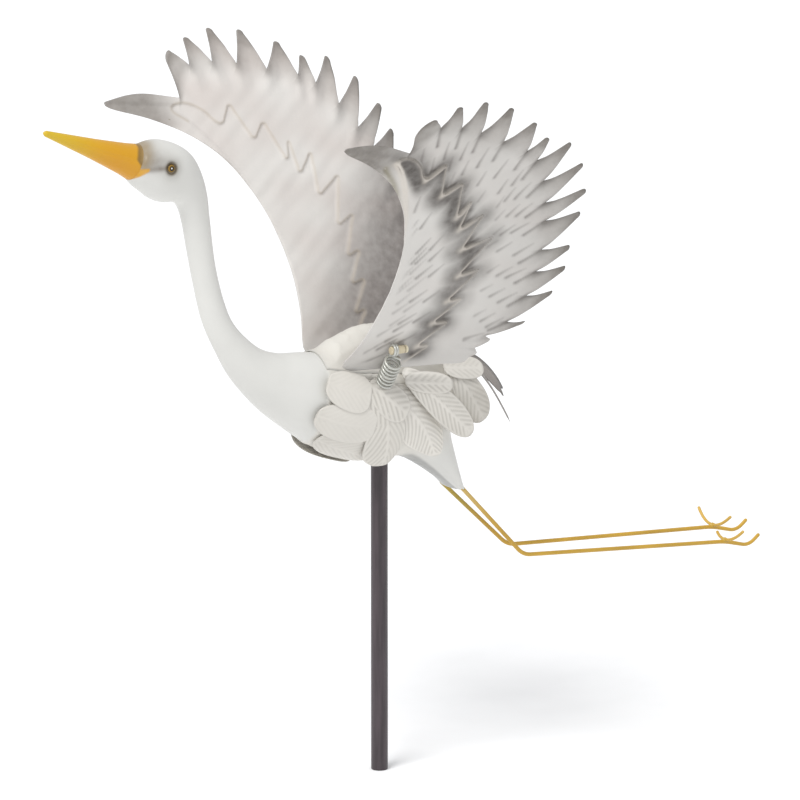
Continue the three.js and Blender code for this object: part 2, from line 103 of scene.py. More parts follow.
# Curves and grids
def catmull(points, t, centripetal=False):
    """Points of a Catmull-Rom curve through the given points, at t in 0..1."""
    knots = np.asarray(points, float)
    count = len(knots)
    place = np.clip(np.asarray(t, float), 0.0, 1.0) * (count - 1)
    i = np.minimum(place.astype(int), count - 2)
    w = (place - i)[..., None]
    padded = np.vstack([2 * knots[0] - knots[1], knots, 2 * knots[-1] - knots[-2]])
    p0, p1, p2, p3 = (padded[i + k] for k in range(4))
    if centripetal:
        d0, d1, d2 = (
            np.maximum(np.linalg.norm(b - a, axis=-1, keepdims=True), 1e-4) ** 0.5
            for a, b in ((p0, p1), (p1, p2), (p2, p3))
        )
        m1 = ((p1 - p0) / d0 - (p2 - p0) / (d0 + d1) + (p2 - p1) / d1) * d1
        m2 = ((p2 - p1) / d1 - (p3 - p1) / (d1 + d2) + (p3 - p2) / d2) * d1
    else:
        m1, m2 = (p2 - p0) / 2, (p3 - p1) / 2
    return p1 + m1 * w + (-3 * p1 + 3 * p2 - 2 * m1 - m2) * w**2 + (2 * p1 - 2 * p2 + m1 + m2) * w**3


class Track:
    """A Catmull-Rom curve that is read by its length."""

    def __init__(self, points, centripetal=False):
        self.points = points
        self.centripetal = centripetal
        self.table_t = np.linspace(0, 1, 1601)
        line = catmull(points, self.table_t, centripetal)
        steps = np.linalg.norm(np.diff(line, axis=0), axis=1)
        self.table_run = np.concatenate([[0.0], np.cumsum(steps)])
        self.length = self.table_run[-1]

    def t_at(self, run):
        return np.interp(run, self.table_run, self.table_t)

    def at_fraction(self, fraction):
        t = self.t_at(np.asarray(fraction) * self.length)
        return catmull(self.points, t, self.centripetal)


def traced(points, count, centripetal=False):
    """Evenly spaced points of a curve."""
    return Track(points, centripetal).at_fraction(np.linspace(0, 1, count))


def unit(vectors):
    return vectors / np.linalg.norm(vectors, axis=-1, keepdims=True)


def around(count):
    """Angles spread evenly over a full turn."""
    return np.arange(count) * 2 * math.pi / count


def ease(value, low, high):
    """0 up to low, 1 from high on, and a soft rise between them."""
    share = np.clip((value - low) / (high - low), 0.0, 1.0)
    return share * share * (3 - 2 * share)


def bump(value, width):
    """A bell that is 1 where the value is 0."""
    return np.exp(-((value / width) ** 2))


def spot(x, z, place, width, height=None):
    """A bell round a place of the side view, an oval one if its height is given."""
    return np.exp(-(((x - place[0]) / width) ** 2) - ((z - place[1]) / (height or width)) ** 2)


def wobble(points, scale, seed):
    """Soft unevenness in -1..1: a few plane waves through the points."""
    draw = np.random.default_rng(seed)
    total = np.zeros(len(points))
    for _ in range(7):
        way = draw.normal(size=3)
        way *= draw.uniform(0.6, 1.5) * 2 * math.pi / scale / np.linalg.norm(way)
        total += np.sin(points @ way + draw.uniform(0, 2 * math.pi))
    return total / 7**0.5


def scallops(row, lane):
    """Rise in 0..1 over each scallop, from how many rows and lanes a point lies along and across."""
    lane = lane + 0.5 * (np.floor(row) % 2)
    return (row + 1.3 * (lane % 1 - 0.5) ** 2) % 1


def grid_faces(count_i, count_j, offset=0, flip=False, wrap=False):
    """Quads of a grid of count_i by count_j points; wrap closes it along j."""
    i, j = np.meshgrid(np.arange(count_i - 1), np.arange(count_j if wrap else count_j - 1), indexing="ij")
    following = (j + 1) % count_j
    quads = np.stack(
        [i * count_j + j, (i + 1) * count_j + j, (i + 1) * count_j + following, i * count_j + following], -1
    ).reshape(-1, 4)
    return (quads[:, ::-1] if flip else quads) + offset


def rim_faces(count_i, count_j):
    """Quads that join the rims of two grids of points, kept one after the other."""
    step = count_i * count_j
    walk = [i * count_j for i in range(count_i)]
    walk += [(count_i - 1) * count_j + j for j in range(1, count_j)]
    walk += [i * count_j + count_j - 1 for i in range(count_i - 2, -1, -1)]
    walk += list(range(count_j - 2, 0, -1))
    after = walk[1:] + walk[:1]
    return np.array([[b, a, a + step, b + step] for a, b in zip(walk, after)])


def tube_faces(rings, sides, flip=False, ends=2):
    """Faces of rings of points, closed at the start or at both ends by centre points kept after them."""
    faces = grid_faces(rings, sides, wrap=True).tolist()
    last, centre = (rings - 1) * sides, rings * sides
    for j in range(sides):
        following = (j + 1) % sides
        faces += [[centre, j, following], [centre + 1, last + following, last + j]][:ends]
    return [face[::-1] for face in faces] if flip else faces


def piece(name, points, faces, values=None):
    """A mesh object from points or grids of points in millimetres, with named numbers stored at its points."""
    mesh = bpy.data.meshes.new(name)
    points = np.vstack([np.reshape(part, (-1, 3)) for part in points]) * MM
    mesh.from_pydata(points.tolist(), [], [list(map(int, face)) for face in faces])
    for key, numbers in (values or {}).items():
        attribute = mesh.attributes.new(key, "FLOAT", "POINT")
        attribute.data.foreach_set("value", np.ravel(numbers).astype(np.float32))
    mesh.polygons.foreach_set("use_smooth", [True] * len(mesh.polygons))
    mesh.update()
    return add(name, mesh)


def dress(made, material, body, slot, *nodes):
    """Paint a piece, fix it to its body and let it stand for its CAD nodes, if it has any."""
    made.data.materials.append(material)
    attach(made, body)
    if nodes:
        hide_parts(*nodes)


def flatten_caps(made):
    """Shade the end caps flat, so that the walls beside them keep clean edges."""
    mesh = made.data
    mesh.polygons.foreach_set("use_smooth", [len(face.vertices) != 3 for face in mesh.polygons])


def two_faced(name, outer, inner, values, flip, inner_values=None):
    """A sheet from two grids of points, joined round the rim. The inner one's values are even, and 0 if not given."""
    count_i, count_j = outer.shape[:2]
    size = count_i * count_j
    faces = np.vstack(
        [grid_faces(count_i, count_j), grid_faces(count_i, count_j, size, True), rim_faces(count_i, count_j)]
    )
    even = inner_values or {}
    values = {key: np.append(numbers, np.full(size, even.get(key, 0.0))) for key, numbers in values.items()}
    return piece(name, (outer, inner), faces[:, ::-1] if flip else faces, values)


# Materials
def linear(red, green, blue):
    """An sRGB colour in 0..255 as the linear colour that the shader takes."""
    parts = []
    for value in (red, green, blue):
        value /= 255.0
        parts.append(value / 12.92 if value <= 0.04045 else ((value + 0.055) / 1.055) ** 2.4)
    return (*parts, 1.0)


def new_material(name):
    """A material with its node tree and its shader's inputs."""
    material = bpy.data.materials.new(name)
    material.use_nodes = True
    return material, material.node_tree, material.node_tree.nodes["Principled BSDF"].inputs


def stored(tree, name):
    """The numbers that a mesh stores under a name."""
    node = tree.nodes.new("ShaderNodeAttribute")
    node.attribute_name = name
    return node.outputs["Fac"]


def mixed(tree, factor, first, second):
    """A mix of two colours, each a fixed one or a node's."""
    node = tree.nodes.new("ShaderNodeMix")
    node.data_type = "RGBA"
    tree.links.new(factor, node.inputs["Factor"])
    for socket, value in ((node.inputs[6], first), (node.inputs[7], second)):
        if isinstance(value, tuple):
            socket.default_value = value
        else:
            tree.links.new(value, socket)
    return node.outputs[2]


def painted(
    name, colour, layers=(), roughness=0.42, mottle=0.05, grain=0.00006, dents=0.0002, metallic=0.0, stretch=1.0
):
    """Brushed paint: uneven colour, soft dents and grain, with further paint laid on by stored masks."""
    material, tree, shader = new_material(name)
    nodes, links = tree.nodes, tree.links
    spread_out = nodes.new("ShaderNodeMapping")
    spread_out.inputs["Scale"].default_value = (stretch, stretch, 1.0)
    links.new(nodes.new("ShaderNodeTexCoord").outputs["Object"], spread_out.inputs["Vector"])

    def noise(scale, detail):
        node = nodes.new("ShaderNodeTexNoise")
        node.inputs["Scale"].default_value = scale
        node.inputs["Detail"].default_value = detail
        links.new(spread_out.outputs["Vector"], node.inputs["Vector"])
        return node.outputs["Fac"]

    def spread(factor, *limits):
        node = nodes.new("ShaderNodeMapRange")
        links.new(factor, node.inputs["Value"])
        for key, value in zip(("From Min", "From Max", "To Min", "To Max"), limits):
            node.inputs[key].default_value = value
        return node.outputs["Result"]

    colour = linear(*colour)[:3]
    darker, lighter = ((*(min(part * share, 1.0) for part in colour), 1.0) for share in (1 - mottle, 1 + mottle))
    paint = mixed(tree, spread(noise(16, 5), 0.35, 0.65, 0, 1), darker, lighter)
    for mask, over, strength in layers:
        worn = nodes.new("ShaderNodeMath")
        worn.operation = "MULTIPLY"
        links.new(stored(tree, mask), worn.inputs[0])
        links.new(spread(noise(130, 4), 0.3, 0.7, strength * 0.8, strength), worn.inputs[1])
        worn.use_clamp = True
        paint = mixed(tree, worn.outputs[0], paint, linear(*over))
    links.new(paint, shader["Base Color"])
    links.new(spread(noise(75, 4), 0.3, 0.7, roughness * 0.88, roughness * 1.12), shader["Roughness"])
    shader["Metallic"].default_value = metallic
    height = None
    for scale, detail, distance in ((900, 2, grain), (42, 3, dents)):
        node = nodes.new("ShaderNodeBump")
        node.inputs["Strength"].default_value = 1.0
        node.inputs["Distance"].default_value = distance
        links.new(noise(scale, detail), node.inputs["Height"])
        if height is not None:
            links.new(height, node.inputs["Normal"])
        height = node.outputs["Normal"]
    links.new(height, shader["Normal"])
    return material


# Feather paint: all three layers are painted shade, in the barbs' grooves, along the rims and where the plate lies in
# shade.
def feather_painted(name, colour, groove, edge, painted_shade=(146, 139, 126), strengths=(0.62, 0.5, 0.8), mottle=0.03):
    layers = zip(("groove", "edge", "painted_shade"), (groove, edge, painted_shade), strengths)
    return painted(name, colour, layers, roughness=0.46, mottle=mottle)


# Each layer: the stored mask that it follows, its colour and its strength.
shell_paint = painted("shell paint", (212, 211, 206), [
    ("smudge", (112, 103, 95), 0.95), ("eye_ring", (84, 72, 50), 0.85), ("tan", (146, 124, 84), 0.9),
    ("yellow", (206, 152, 34), 1.0), ("cream", (211, 206, 196), 0.7), ("shadow", (132, 133, 131), 0.9),
], mottle=0.025)
feather_paint = feather_painted("feather paint", (211, 207, 199), (170, 166, 157), (170, 166, 158))
rear_feather_paint = feather_painted("rear feather paint", (222, 218, 210), (176, 172, 163), (182, 178, 170))
dark_feather_paint = feather_painted(
    "tail feather paint", (150, 143, 137), (112, 106, 100), (88, 84, 80), (84, 79, 75), (0.7, 0.8, 0.85), 0.08
)
wing_paint = painted("wing paint", (207, 204, 199), [
    ("pale", (220, 216, 211), 0.9), ("blush", (192, 178, 171), 0.7), ("painted_shade", (110, 103, 99), 0.92),
    ("shade", (52, 44, 36), 0.96), ("tips", (102, 95, 87), 0.95), ("olive", (120, 112, 84), 0.7),
    ("stroke", (88, 81, 76), 0.7), ("line", (180, 168, 150), 0.5), ("light", (210, 202, 191), 0.8),
    ("edge", (84, 78, 72), 0.7),
], roughness=0.46, mottle=0.03)
bill_paint = painted("bill paint", (208, 158, 20), [
    ("lemon", (206, 176, 36), 0.9), ("orange", (206, 142, 16), 0.85), ("face", (150, 128, 88), 1.0),
    ("joint", (128, 98, 42), 0.9),
], roughness=0.4)
leg_paint = painted("leg paint", (192, 152, 50), [
    ("pale", (212, 184, 116), 0.8), ("olive", (164, 148, 52), 0.8),
], mottle=0.12)
# The stake's strong mottle, stretched upright, paints light and dark streaks along the tube, a painted reflection.
pole_paint = painted("stake paint", (62, 53, 57), roughness=0.32, mottle=0.3, dents=0.0001, stretch=14.0)
# Stud paint: a painted highlight on its end and painted shade in the groove before it.
stud_paint = painted("stud paint", (196, 184, 156), [
    ("edge", (222, 214, 188), 0.9), ("groove", (104, 92, 68), 0.8),
])
spring_metal = painted(
    "spring wire", (176, 178, 174), [("pale", (206, 205, 196), 0.8)], roughness=0.34, mottle=0.1, metallic=0.5
)

# Shell: head, neck and torso. Each station: its place in the side view, half its height and half its width.
SPINE = np.array([
    (-270, 609, 17, 16), (-262, 606, 22, 19), (-247, 601, 27, 22), (-232, 594, 28, 22), (-218, 583, 25, 19),
    (-209.5, 568, 18, 16), (-204, 550, 13.5, 13), (-199.5, 525, 12, 12), (-194, 495, 11.8, 11.8),
    (-187.5, 470, 12, 12), (-178.5, 447, 13, 13), (-165, 426, 15.5, 15), (-147, 406, 20, 19),
    (-125, 391, 27, 25), (-98, 379, 36, 31), (-65, 366, 44, 36), (-28, 356, 47, 39), (8, 348, 48, 39),
    (37, 330, 36, 33), (60, 301, 20, 25), (84, 264, 3.2, 19.5),
])
SPINE_LINE = SPINE[:, :2]
SPINE_GIRTH = SPINE[:, 2:]
spine_track = Track(SPINE_LINE)
# Runs along the torso count from this station.
TORSO_DATUM = 8.0
datum_t = float(np.argmax(SPINE[:, 0] == TORSO_DATUM)) / (len(SPINE) - 1)
datum_run = float(np.interp(datum_t, spine_track.table_t, spine_track.table_run))

EYE = np.array([-242.5, 20.1, 603.0])
EYE_RADIUS = 4.2
EYE_BULGE = 0.6
SHELL_RINGS = 460
SHELL_SIDES = 128
# The plumage jacket over the torso: where it starts, how that seam slants, its step and its scallops.
JACKET_FRONT = -103.0
JACKET_SLANT = 0.11
JACKET_RISE = 0.7
SCALLOP = 11.0
FLANK_GIRTH = 43.0


def shell_point(t, angle, side, off):
    """Points of the shell: t along the spine, angle from the back in radians, and a distance off it."""
    t, angle, off = np.broadcast_arrays(np.asarray(t, float), angle, off)
    centre = catmull(SPINE_LINE, t)
    heading = unit(catmull(SPINE_LINE, np.minimum(t + 1e-4, 1)) - catmull(SPINE_LINE, np.maximum(t - 1e-4, 0)))
    girth = catmull(SPINE_GIRTH, t)
    up, out = np.cos(angle), np.sin(angle) * side
    lift, spread = up / girth[..., 0], out / girth[..., 1]
    size = np.hypot(lift, spread)
    rise = girth[..., 0] * up + off * lift / size
    x = centre[..., 0] - heading[..., 1] * rise
    z = centre[..., 1] + heading[..., 0] * rise
    return np.stack([x, girth[..., 1] * out + off * spread / size, z], -1)


def make_shell():
    t = np.linspace(0, 1, SHELL_RINGS)[:, None]
    angle = around(SHELL_SIDES)[None, :]
    bare = shell_point(t, angle, 1, 0.0)
    flat = bare.reshape(-1, 3)
    x, y, z = flat.T
    from_eye = np.hypot(x - EYE[0], z - EYE[2])
    socket = -1.3 * bump(from_eye, 6.5) + 0.9 * bump(from_eye - 7.5, 2.4)
    brow = 0.9 * bump(z - EYE[2] - 9, 4) * ease(-x, 222, 240)
    gape = -0.6 * bump(z - 604 - 0.1 * (x + 265), 1.3) * ease(-x, 250, 256)
    run = np.repeat(np.interp(t.ravel(), spine_track.table_t, spine_track.table_run) - datum_run, SHELL_SIDES)
    from_back = np.tile(np.degrees(np.minimum(angle, 2 * math.pi - angle)).ravel(), SHELL_RINGS)
    scallop = scallops(run / SCALLOP, np.radians(from_back) * FLANK_GIRTH / (SCALLOP * 1.1))
    jacket = ease(run - (JACKET_FRONT + JACKET_SLANT * from_back), 0, 2.2) * ease(75 - run, 0, 45)
    off = ease(np.abs(y), 8, 16) * (socket + brow + gape) + 0.35 * wobble(flat, 46, 3)
    off += jacket * (JACKET_RISE + 0.6 * scallop)
    # The head's underside and nape are hollower than the spine's girths make them.
    off -= 5.5 * spot(x, z, (-226, 567), 15) * ease(from_back, 95, 165)
    off -= 3.2 * spot(x, z, (-206, 592), 15) * ease(95 - from_back, 0, 60)
    off = off.reshape(bare.shape[:2]) * ease(t, 0, 0.02) * ease(1 - t, 0, 0.02)
    points = shell_point(t, angle, 1, off).reshape(-1, 3)
    points = np.vstack([points, points[:SHELL_SIDES].mean(0), points[-SHELL_SIDES:].mean(0)])

    x, y, z = points.T
    from_eye = np.hypot(x - EYE[0], z - EYE[2])
    on_side = ease(np.abs(y), 6, 14)
    behind_bill = np.maximum((x + 270) * 0.936 - (z - 609) * 0.351, 0)
    lore = bump(z - 603.5 - 0.06 * (x + 255), 2.5) * ease(-x, 243, 250)
    smudge = (0.3 * bump(behind_bill, 8) + 0.3 * bump(behind_bill, 17)) * ease(z, 602, 608)
    smudge += on_side * (0.6 * lore + 0.45 * spot(x, z, (-256, 609), 13.5, 9))
    corner = ease(0.545 * (-x - 266) + 0.838 * (z - 603.6), -3.4, -1.4)
    values = {
        "eye_ring": on_side * (0.9 * bump(from_eye - 4.8, 1.8) + 0.6 * bump(from_eye, 9.8)),
        "smudge": np.clip(smudge, 0, 1),
        "tan": 0.85 * bump(behind_bill, 8.5) * ease(z, 601, 606),
        "yellow": corner * ease(605.4 - z, 0, 1.6) * ease(-x, 262.5, 265.0),
        "cream": np.append(jacket, [0, 0]),
        "shadow": np.append(0.8 * ease(from_back, 138, 150) * ease(run, 28, 55), [0, 0]),
    }
    made = piece("shell", points, tube_faces(SHELL_RINGS, SHELL_SIDES), values)
    flatten_caps(made)
    dress(made, shell_paint, "bird", "shell", "body")


make_shell()

# Bill and eyes
BILL_LENGTH = 101.0
BILL_RADIUS = 16.5
BILL_TIP_RADIUS = 2.8
BILL_TIP = 3.0
# How far the bill is sunk in the head, and the depth of the mouth line.
BILL_SEAT = 0.5
MOUTH_DEPTH = 0.35
bill_axis = -unit(catmull(SPINE_LINE, np.array([1e-4]))[0] - SPINE_LINE[0])


def make_bill():
    rings, sides = 150, 72
    along = BILL_LENGTH * (1 - (1 - np.linspace(0, 1, rings)) ** 1.35)
    knots = [0, 12, 46, BILL_LENGTH - BILL_TIP, BILL_LENGTH]
    radius = np.interp(along, knots, [BILL_RADIUS, BILL_RADIUS * 0.86, BILL_RADIUS * 0.56, BILL_TIP_RADIUS, 0.0])
    to_tip = (BILL_LENGTH - along) / BILL_TIP
    radius = np.where(to_tip < 1, BILL_TIP_RADIUS * np.sqrt(np.clip(to_tip, 0, 1)), radius)
    along_grid, turn_grid = np.meshgrid(along, around(sides), indexing="ij")
    mouth = bump(np.abs(np.cos(turn_grid)) * radius[:, None], 0.8)
    mouth *= ease(along_grid, 2, 12) * ease(BILL_LENGTH - along_grid, 12, 40)
    full = np.maximum(radius[:, None] - MOUTH_DEPTH * mouth, 0.001)
    seat = SPINE_LINE[0] - BILL_SEAT * bill_axis
    oval = 0.03 * np.exp(-along_grid / 15)
    tall = full * (1 + oval) * np.cos(turn_grid)
    x = seat[0] + bill_axis[0] * along_grid + bill_axis[1] * tall
    z = seat[1] + bill_axis[1] * along_grid - bill_axis[0] * tall
    points = np.stack([x, full * (1 - oval) * np.sin(turn_grid), z], -1)
    along, high = np.append(along_grid, 0.0), np.append(np.cos(turn_grid), 0.0)
    # The brown face of the shell reaches onto the bill's upper side and ends in a dark line.
    into_face = 5.5 * ease(high, -0.2, 0.2) - 1.5 * ease(high, 0.5, 1.0) - along
    joint = bump(np.maximum(into_face - 0.6, 0), 3.4) * ease(into_face, -2.4, 0.4)
    values = {
        "face": ease(into_face, -0.8, 1.2),
        "joint": joint * ease(high, -0.4, 0.0),
        "lemon": ease(along, 40, 95),
        "orange": ease(62 - along, 0, 40) * (0.6 + 0.4 * ease(-high, -0.6, 0.8)),
    }
    made = piece("bill_cone", (points, points[0].mean(0)), tube_faces(rings, sides, ends=1), values)
    flatten_caps(made)
    dress(made, bill_paint, "bird", "bill", "bill")


make_bill()

# Colours of the eye from the pupil's middle outwards
EYE_COLOURS = (
    (0.44, (12, 8, 6)), (0.54, (112, 84, 30)), (0.76, (150, 118, 50)), (0.9, (60, 44, 18)),
)


def make_eye_paint():
    material, tree, shader = new_material("eye glaze")
    iris = tree.nodes.new("ShaderNodeValToRGB")
    first, last = iris.color_ramp.elements
    first.position, first.color = 0.0, linear(14, 10, 8)
    last.position, last.color = 1.0, linear(44, 32, 16)
    for position, colour in EYE_COLOURS:
        iris.color_ramp.elements.new(position).color = linear(*colour)
    tree.links.new(stored(tree, "from_pupil"), iris.inputs["Fac"])
    shown = mixed(tree, stored(tree, "glint"), iris.outputs["Color"], linear(240, 238, 230))
    tree.links.new(shown, shader["Base Color"])
    shader["Roughness"].default_value = 0.2
    shader["IOR"].default_value = 1.38
    return material


eye_paint = make_eye_paint()


def make_eye(label, side):
    rings, sides = 40, 64
    swing, turn = np.meshgrid(np.linspace(0, math.pi, rings), around(sides), indexing="ij")
    x = EYE[0] + EYE_RADIUS * np.sin(swing) * np.cos(turn)
    z = EYE[2] + EYE_RADIUS * np.sin(swing) * np.sin(turn)
    y = side * (EYE[1] + EYE_BULGE * EYE_RADIUS * np.cos(swing))
    points = np.stack([x, y, z], -1)
    values = {
        "from_pupil": np.clip(np.sin(swing), 0, 1),
        "glint": ease(0.95 - np.hypot(x - EYE[0] + 0.3, z - EYE[2] - 0.3), 0.0, 0.5),
    }
    made = piece(f"eye_bead_{label}", points, grid_faces(rings, sides, wrap=True, flip=side > 0), values)
    dress(made, eye_paint, "bird", "eye", f"eye_{label}")


# Plumage: domed plates with a quill and barbs, closer to the shell and to each other than their solids.
# Flank plates: root along the torso and down from the back in degrees, heading, length, width, place in the pile.
FLANK = {
    "scale_shoulder": (-102, 70, 5, 51, 33, 4.4),
    "scale_breast": (-101, 113, -4, 63, 35, 3.3),
    "scale_belly": (-84, 143, 5, 60, 41, 1.6),
    "leaf_side_upper": (-54, 62, 24, 51, 29, 3.7),
    "leaf_side_lower": (-56, 66, 35, 45, 33, 3.0),
    "scale_rear": (-31, 89, 70, 51, 42, 2.3),
    "leaf_thigh": (-35, 72, 18, 103, 46, 0.3),
}
FLANK_REST = 0.9
FLANK_STEP = 1.25
# How far a flank plate's free part stands off, and the far belly plate's turn and stand-off.
FREE_LIFT = {"scale_belly": 1.6, "scale_rear": 7.0}
FAR_BELLY_TURN = 7
FAR_BELLY_LIFT = 4.4
# Fan plates: root in the side view, degrees below level, length, width, place in the pile, strength of painted shade.
FAN = {
    "fan_lower": (4, 390, 43.5, 97, 30, 1, 0.18),
    "fan_rear": (58, 388, 60, 62, 32, 0, 0.55),
    "fan_upper": (2, 381, 9, 53, 20, 2, 0.12),
    "fan_top": (48, 388, 6, 44, 20, 3, 0.1),
}
FAN_REST = 43.6
FAN_STEP = 1.35
FAN_SHOULDER = 350.0
FAN_SHOULDER_BEND = 0.008
# Tail feathers: root, tip, width, arch, roll.
TAIL = {
    "tail_left": ((93, -6, 389), (146, -6, 320), 20, 7, 24),
    "tail_right": ((96, 12, 385), (153, 12, 343), 21, 9, 46),
}
# Of each kind of plate: depth and spacing of its barbs, and how boxy its outline is.
BARBS = {
    "scale_shoulder": (0.08, 7.0, 2.7), "scale_breast": (0.06, 7.0, 2.5), "scale_belly": (0.2, 7.0, 2.4),
    "leaf_side_upper": (0.6, 8.2, 2.1), "leaf_side_lower": (0.65, 8.6, 2.2), "scale_rear": (0.32, 7.4, 2.4),
    "leaf_thigh": (0.55, 8.4, 2.2), "fan_lower": (0.5, 7.4, 2.2), "fan_rear": (0.55, 8.0, 2.3),
    "fan_upper": (0.5, 7.6, 2.3), "fan_top": (0.24, 6.6, 2.3), "tail": (0.25, 6.0, 2.6),
}
# How the barbs slant back from the quill and bend
BARB_SLANT = 1.45
BARB_BEND = 0.01
PLATE_SHEET = 1.0


def feather(node, kind, length, width, place, flip, material, painted_shade):
    """A plate: place(ahead, across, off) gives its points, and off is the height over its back face."""
    depth, spacing, square = BARBS[kind]
    share = 0.5 - 0.5 * np.cos(np.linspace(0, math.pi, max(40, int(length * 1.2)))) * 0.999
    across_share = np.sin(np.linspace(-1, 1, max(24, int(width * 1.2))) * math.pi / 2)
    s, c = np.meshgrid(share, across_share, indexing="ij")
    ahead = s * length
    # The outline is an ellipse at square 2, and boxier above that.
    half = np.clip(1 - np.abs(2 * s - 1) ** square, 0, 1) ** (1 / square) * (0.92 + 0.16 * s)
    if kind == "tail":
        # Its blunt tip is split.
        half = np.maximum(half, 0.66 * ease(s, 0.5, 0.8))
        ahead = ahead - (4.5 * (1 - np.abs(c)) ** 1.5 + 3 * np.abs(c) ** 6) * ease(s, 0.84, 1)
    across = c * (width / 2) * half
    reach = np.abs(across)
    phase = (ahead - BARB_SLANT * reach - BARB_BEND * reach**2) / spacing
    from_rim = (1 - np.maximum(np.abs(c), np.abs(2 * s - 1))) * min(length, width) / 2
    groove = (0.5 + 0.5 * np.cos(2 * math.pi * phase)) ** 1.7
    groove *= ease(from_rim, 0.8, 3.0) * ease(reach, 0.5, 2.2)
    quill = bump(across, 1.0) * ease(0.92 - s, 0, 0.3)
    beside_quill = bump(reach - 2.1, 0.8) * ease(0.85 - s, 0, 0.3)
    edge = ease(1.3 - from_rim, 0, 1.3)
    relief = 0.3 * quill - depth * groove - 0.22 * beside_quill + 0.5 * ease(from_rim, 0, width / 3) - 0.6 * edge
    outer = place(ahead, across, PLATE_SHEET + relief)
    inner = place(ahead, across, 0.1 * edge)
    # The groove mask is painted shade, darker where the barbs' grooves are deeper, and the edge mask is painted shade
    # along the rim where it bends down.
    values = {"groove": min(depth / 0.36, 1.0) * groove, "edge": edge, "painted_shade": np.clip(painted_shade(s, c), 0, 1)}
    dress(two_faced(f"{node}_plate", outer, inner, values, flip), material, "bird", "plumage", node)


def make_flank(kind, label, side):
    run, degrees, heading, length, width, layer = FLANK[kind]
    belly = kind == "scale_belly"
    lift = FREE_LIFT.get(kind, 0.0)
    if belly and side > 0:
        degrees, lift = degrees + FAR_BELLY_TURN, FAR_BELLY_LIFT
    turn = math.radians(heading)

    def place(ahead, across, off):
        along = datum_run + run + ahead * math.cos(turn) - across * math.sin(turn)
        down = ahead * math.sin(turn) + across * math.cos(turn)
        t = spine_track.t_at(np.minimum(along, spine_track.length))
        # The belly plate's low edge and the rear scale's end hang free.
        free = ease(across, 0, width / 2) if belly else np.clip(ahead / length, 0, 1) ** 1.5
        off = FLANK_REST + layer * FLANK_STEP + off + lift * free
        return shell_point(t, math.radians(degrees) + down / FLANK_GIRTH, side, off)

    # Painted shade: a little darker at the plate's root, and a painted shadow along the far belly plate's low edge.
    def painted_shade(s, c):
        return 0.12 * ease(0.3 - s, 0, 0.3) + (ease(c, 0.5, 1) if belly and side > 0 else 0)

    paint = rear_feather_paint if kind == "leaf_thigh" else feather_paint
    feather(f"{kind}_{label}", kind, length, width, place, side > 0, paint, painted_shade)


def make_fan(kind, label, side):
    x, z, below, length, width, layer, shade = FAN[kind]
    turn = math.radians(below)

    def place(ahead, across, off):
        px = x + ahead * math.cos(turn) + across * math.sin(turn)
        pz = z - ahead * math.sin(turn) + across * math.cos(turn)
        inward = FAN_SHOULDER_BEND * np.maximum(0, pz - FAN_SHOULDER) ** 2
        return np.stack([px, side * (FAN_REST + layer * FAN_STEP + off - inward), pz], -1)

    # Painted shade towards the plate's tip and along one side, stronger on the rear fan.
    def painted_shade(s, c):
        return shade * (ease(s, 0.1, 0.7) * (0.6 + 0.4 * np.abs(c)) + 0.5 * ease(-c, 0.2, 1))

    paint = feather_paint if kind in ("fan_rear", "fan_top") else rear_feather_paint
    feather(f"{kind}_{label}", kind, length, width, place, side < 0, paint, painted_shade)


def make_tail(node):
    root, tip, width, arch, roll = TAIL[node]
    length = (Vector(tip) - Vector(root)).length
    run = (Vector(tip) - Vector(root)).normalized()
    level = Vector((0, 0, 1)).cross(run).normalized()
    breadth = level * math.cos(math.radians(roll)) + run.cross(level) * math.sin(math.radians(roll))
    normal = np.array(run.cross(breadth).normalized())
    run, breadth = np.array(run), np.array(breadth)

    def place(ahead, across, off):
        off = np.broadcast_to(off, ahead.shape) - PLATE_SHEET / 2
        points = np.array(root) + ahead[..., None] * run + across[..., None] * breadth + off[..., None] * normal
        points[..., 2] += arch * 4 * (ahead / length) * (1 - ahead / length)
        return points

    # Painted shade along one side of the feather, at its split tip and at its root.
    def painted_shade(s, c):
        return ease(c, 0.1, 0.9) + 0.7 * ease(s, 0.75, 1) + 0.5 * ease(0.35 - s, 0, 0.3)

    feather(node, "tail", length, width, place, True, dark_feather_paint, painted_shade)


# Back plate over the shoulders: sheet, gap over the shell, its scallops, and stations along its ridge, each with
# its place in the side view, half its width and its drop.
SHELL_SHEET = 1.2
BACK_GAP = 1.5
BACK_ROW = 13.0
BACK_LANE = 12.0
BACK_PLATE = np.array([
    (-76, 414.5, 24, 14), (-50, 421, 27, 24), (-22, 429, 27, 32), (10, 427, 27, 34),
    (45, 415, 26, 28), (78, 402, 20, 14), (98, 393, 10, 4),
])


def shell_top(x, y):
    """Height of the shell's upper side at each x and y."""
    t = np.linspace(0.5, 1, 260)[:, None]
    known = shell_point(t, np.linspace(-1.7, 1.7, 140)[None, :], 1, JACKET_RISE).reshape(-1, 3)
    tree = KDTree(len(known))
    for index, (known_x, known_y, _) in enumerate(known):
        tree.insert((known_x, known_y, 0), index)
    tree.balance()
    heights = []
    for place in zip(x.ravel(), y.ravel()):
        near = tree.find_n((*place, 0), 6)
        weights = [1 / (distance + 0.2) ** 2 for _, _, distance in near]
        heights.append(sum(weight * known[index][2] for weight, (_, index, _) in zip(weights, near)) / sum(weights))
    return np.array(heights).reshape(x.shape)


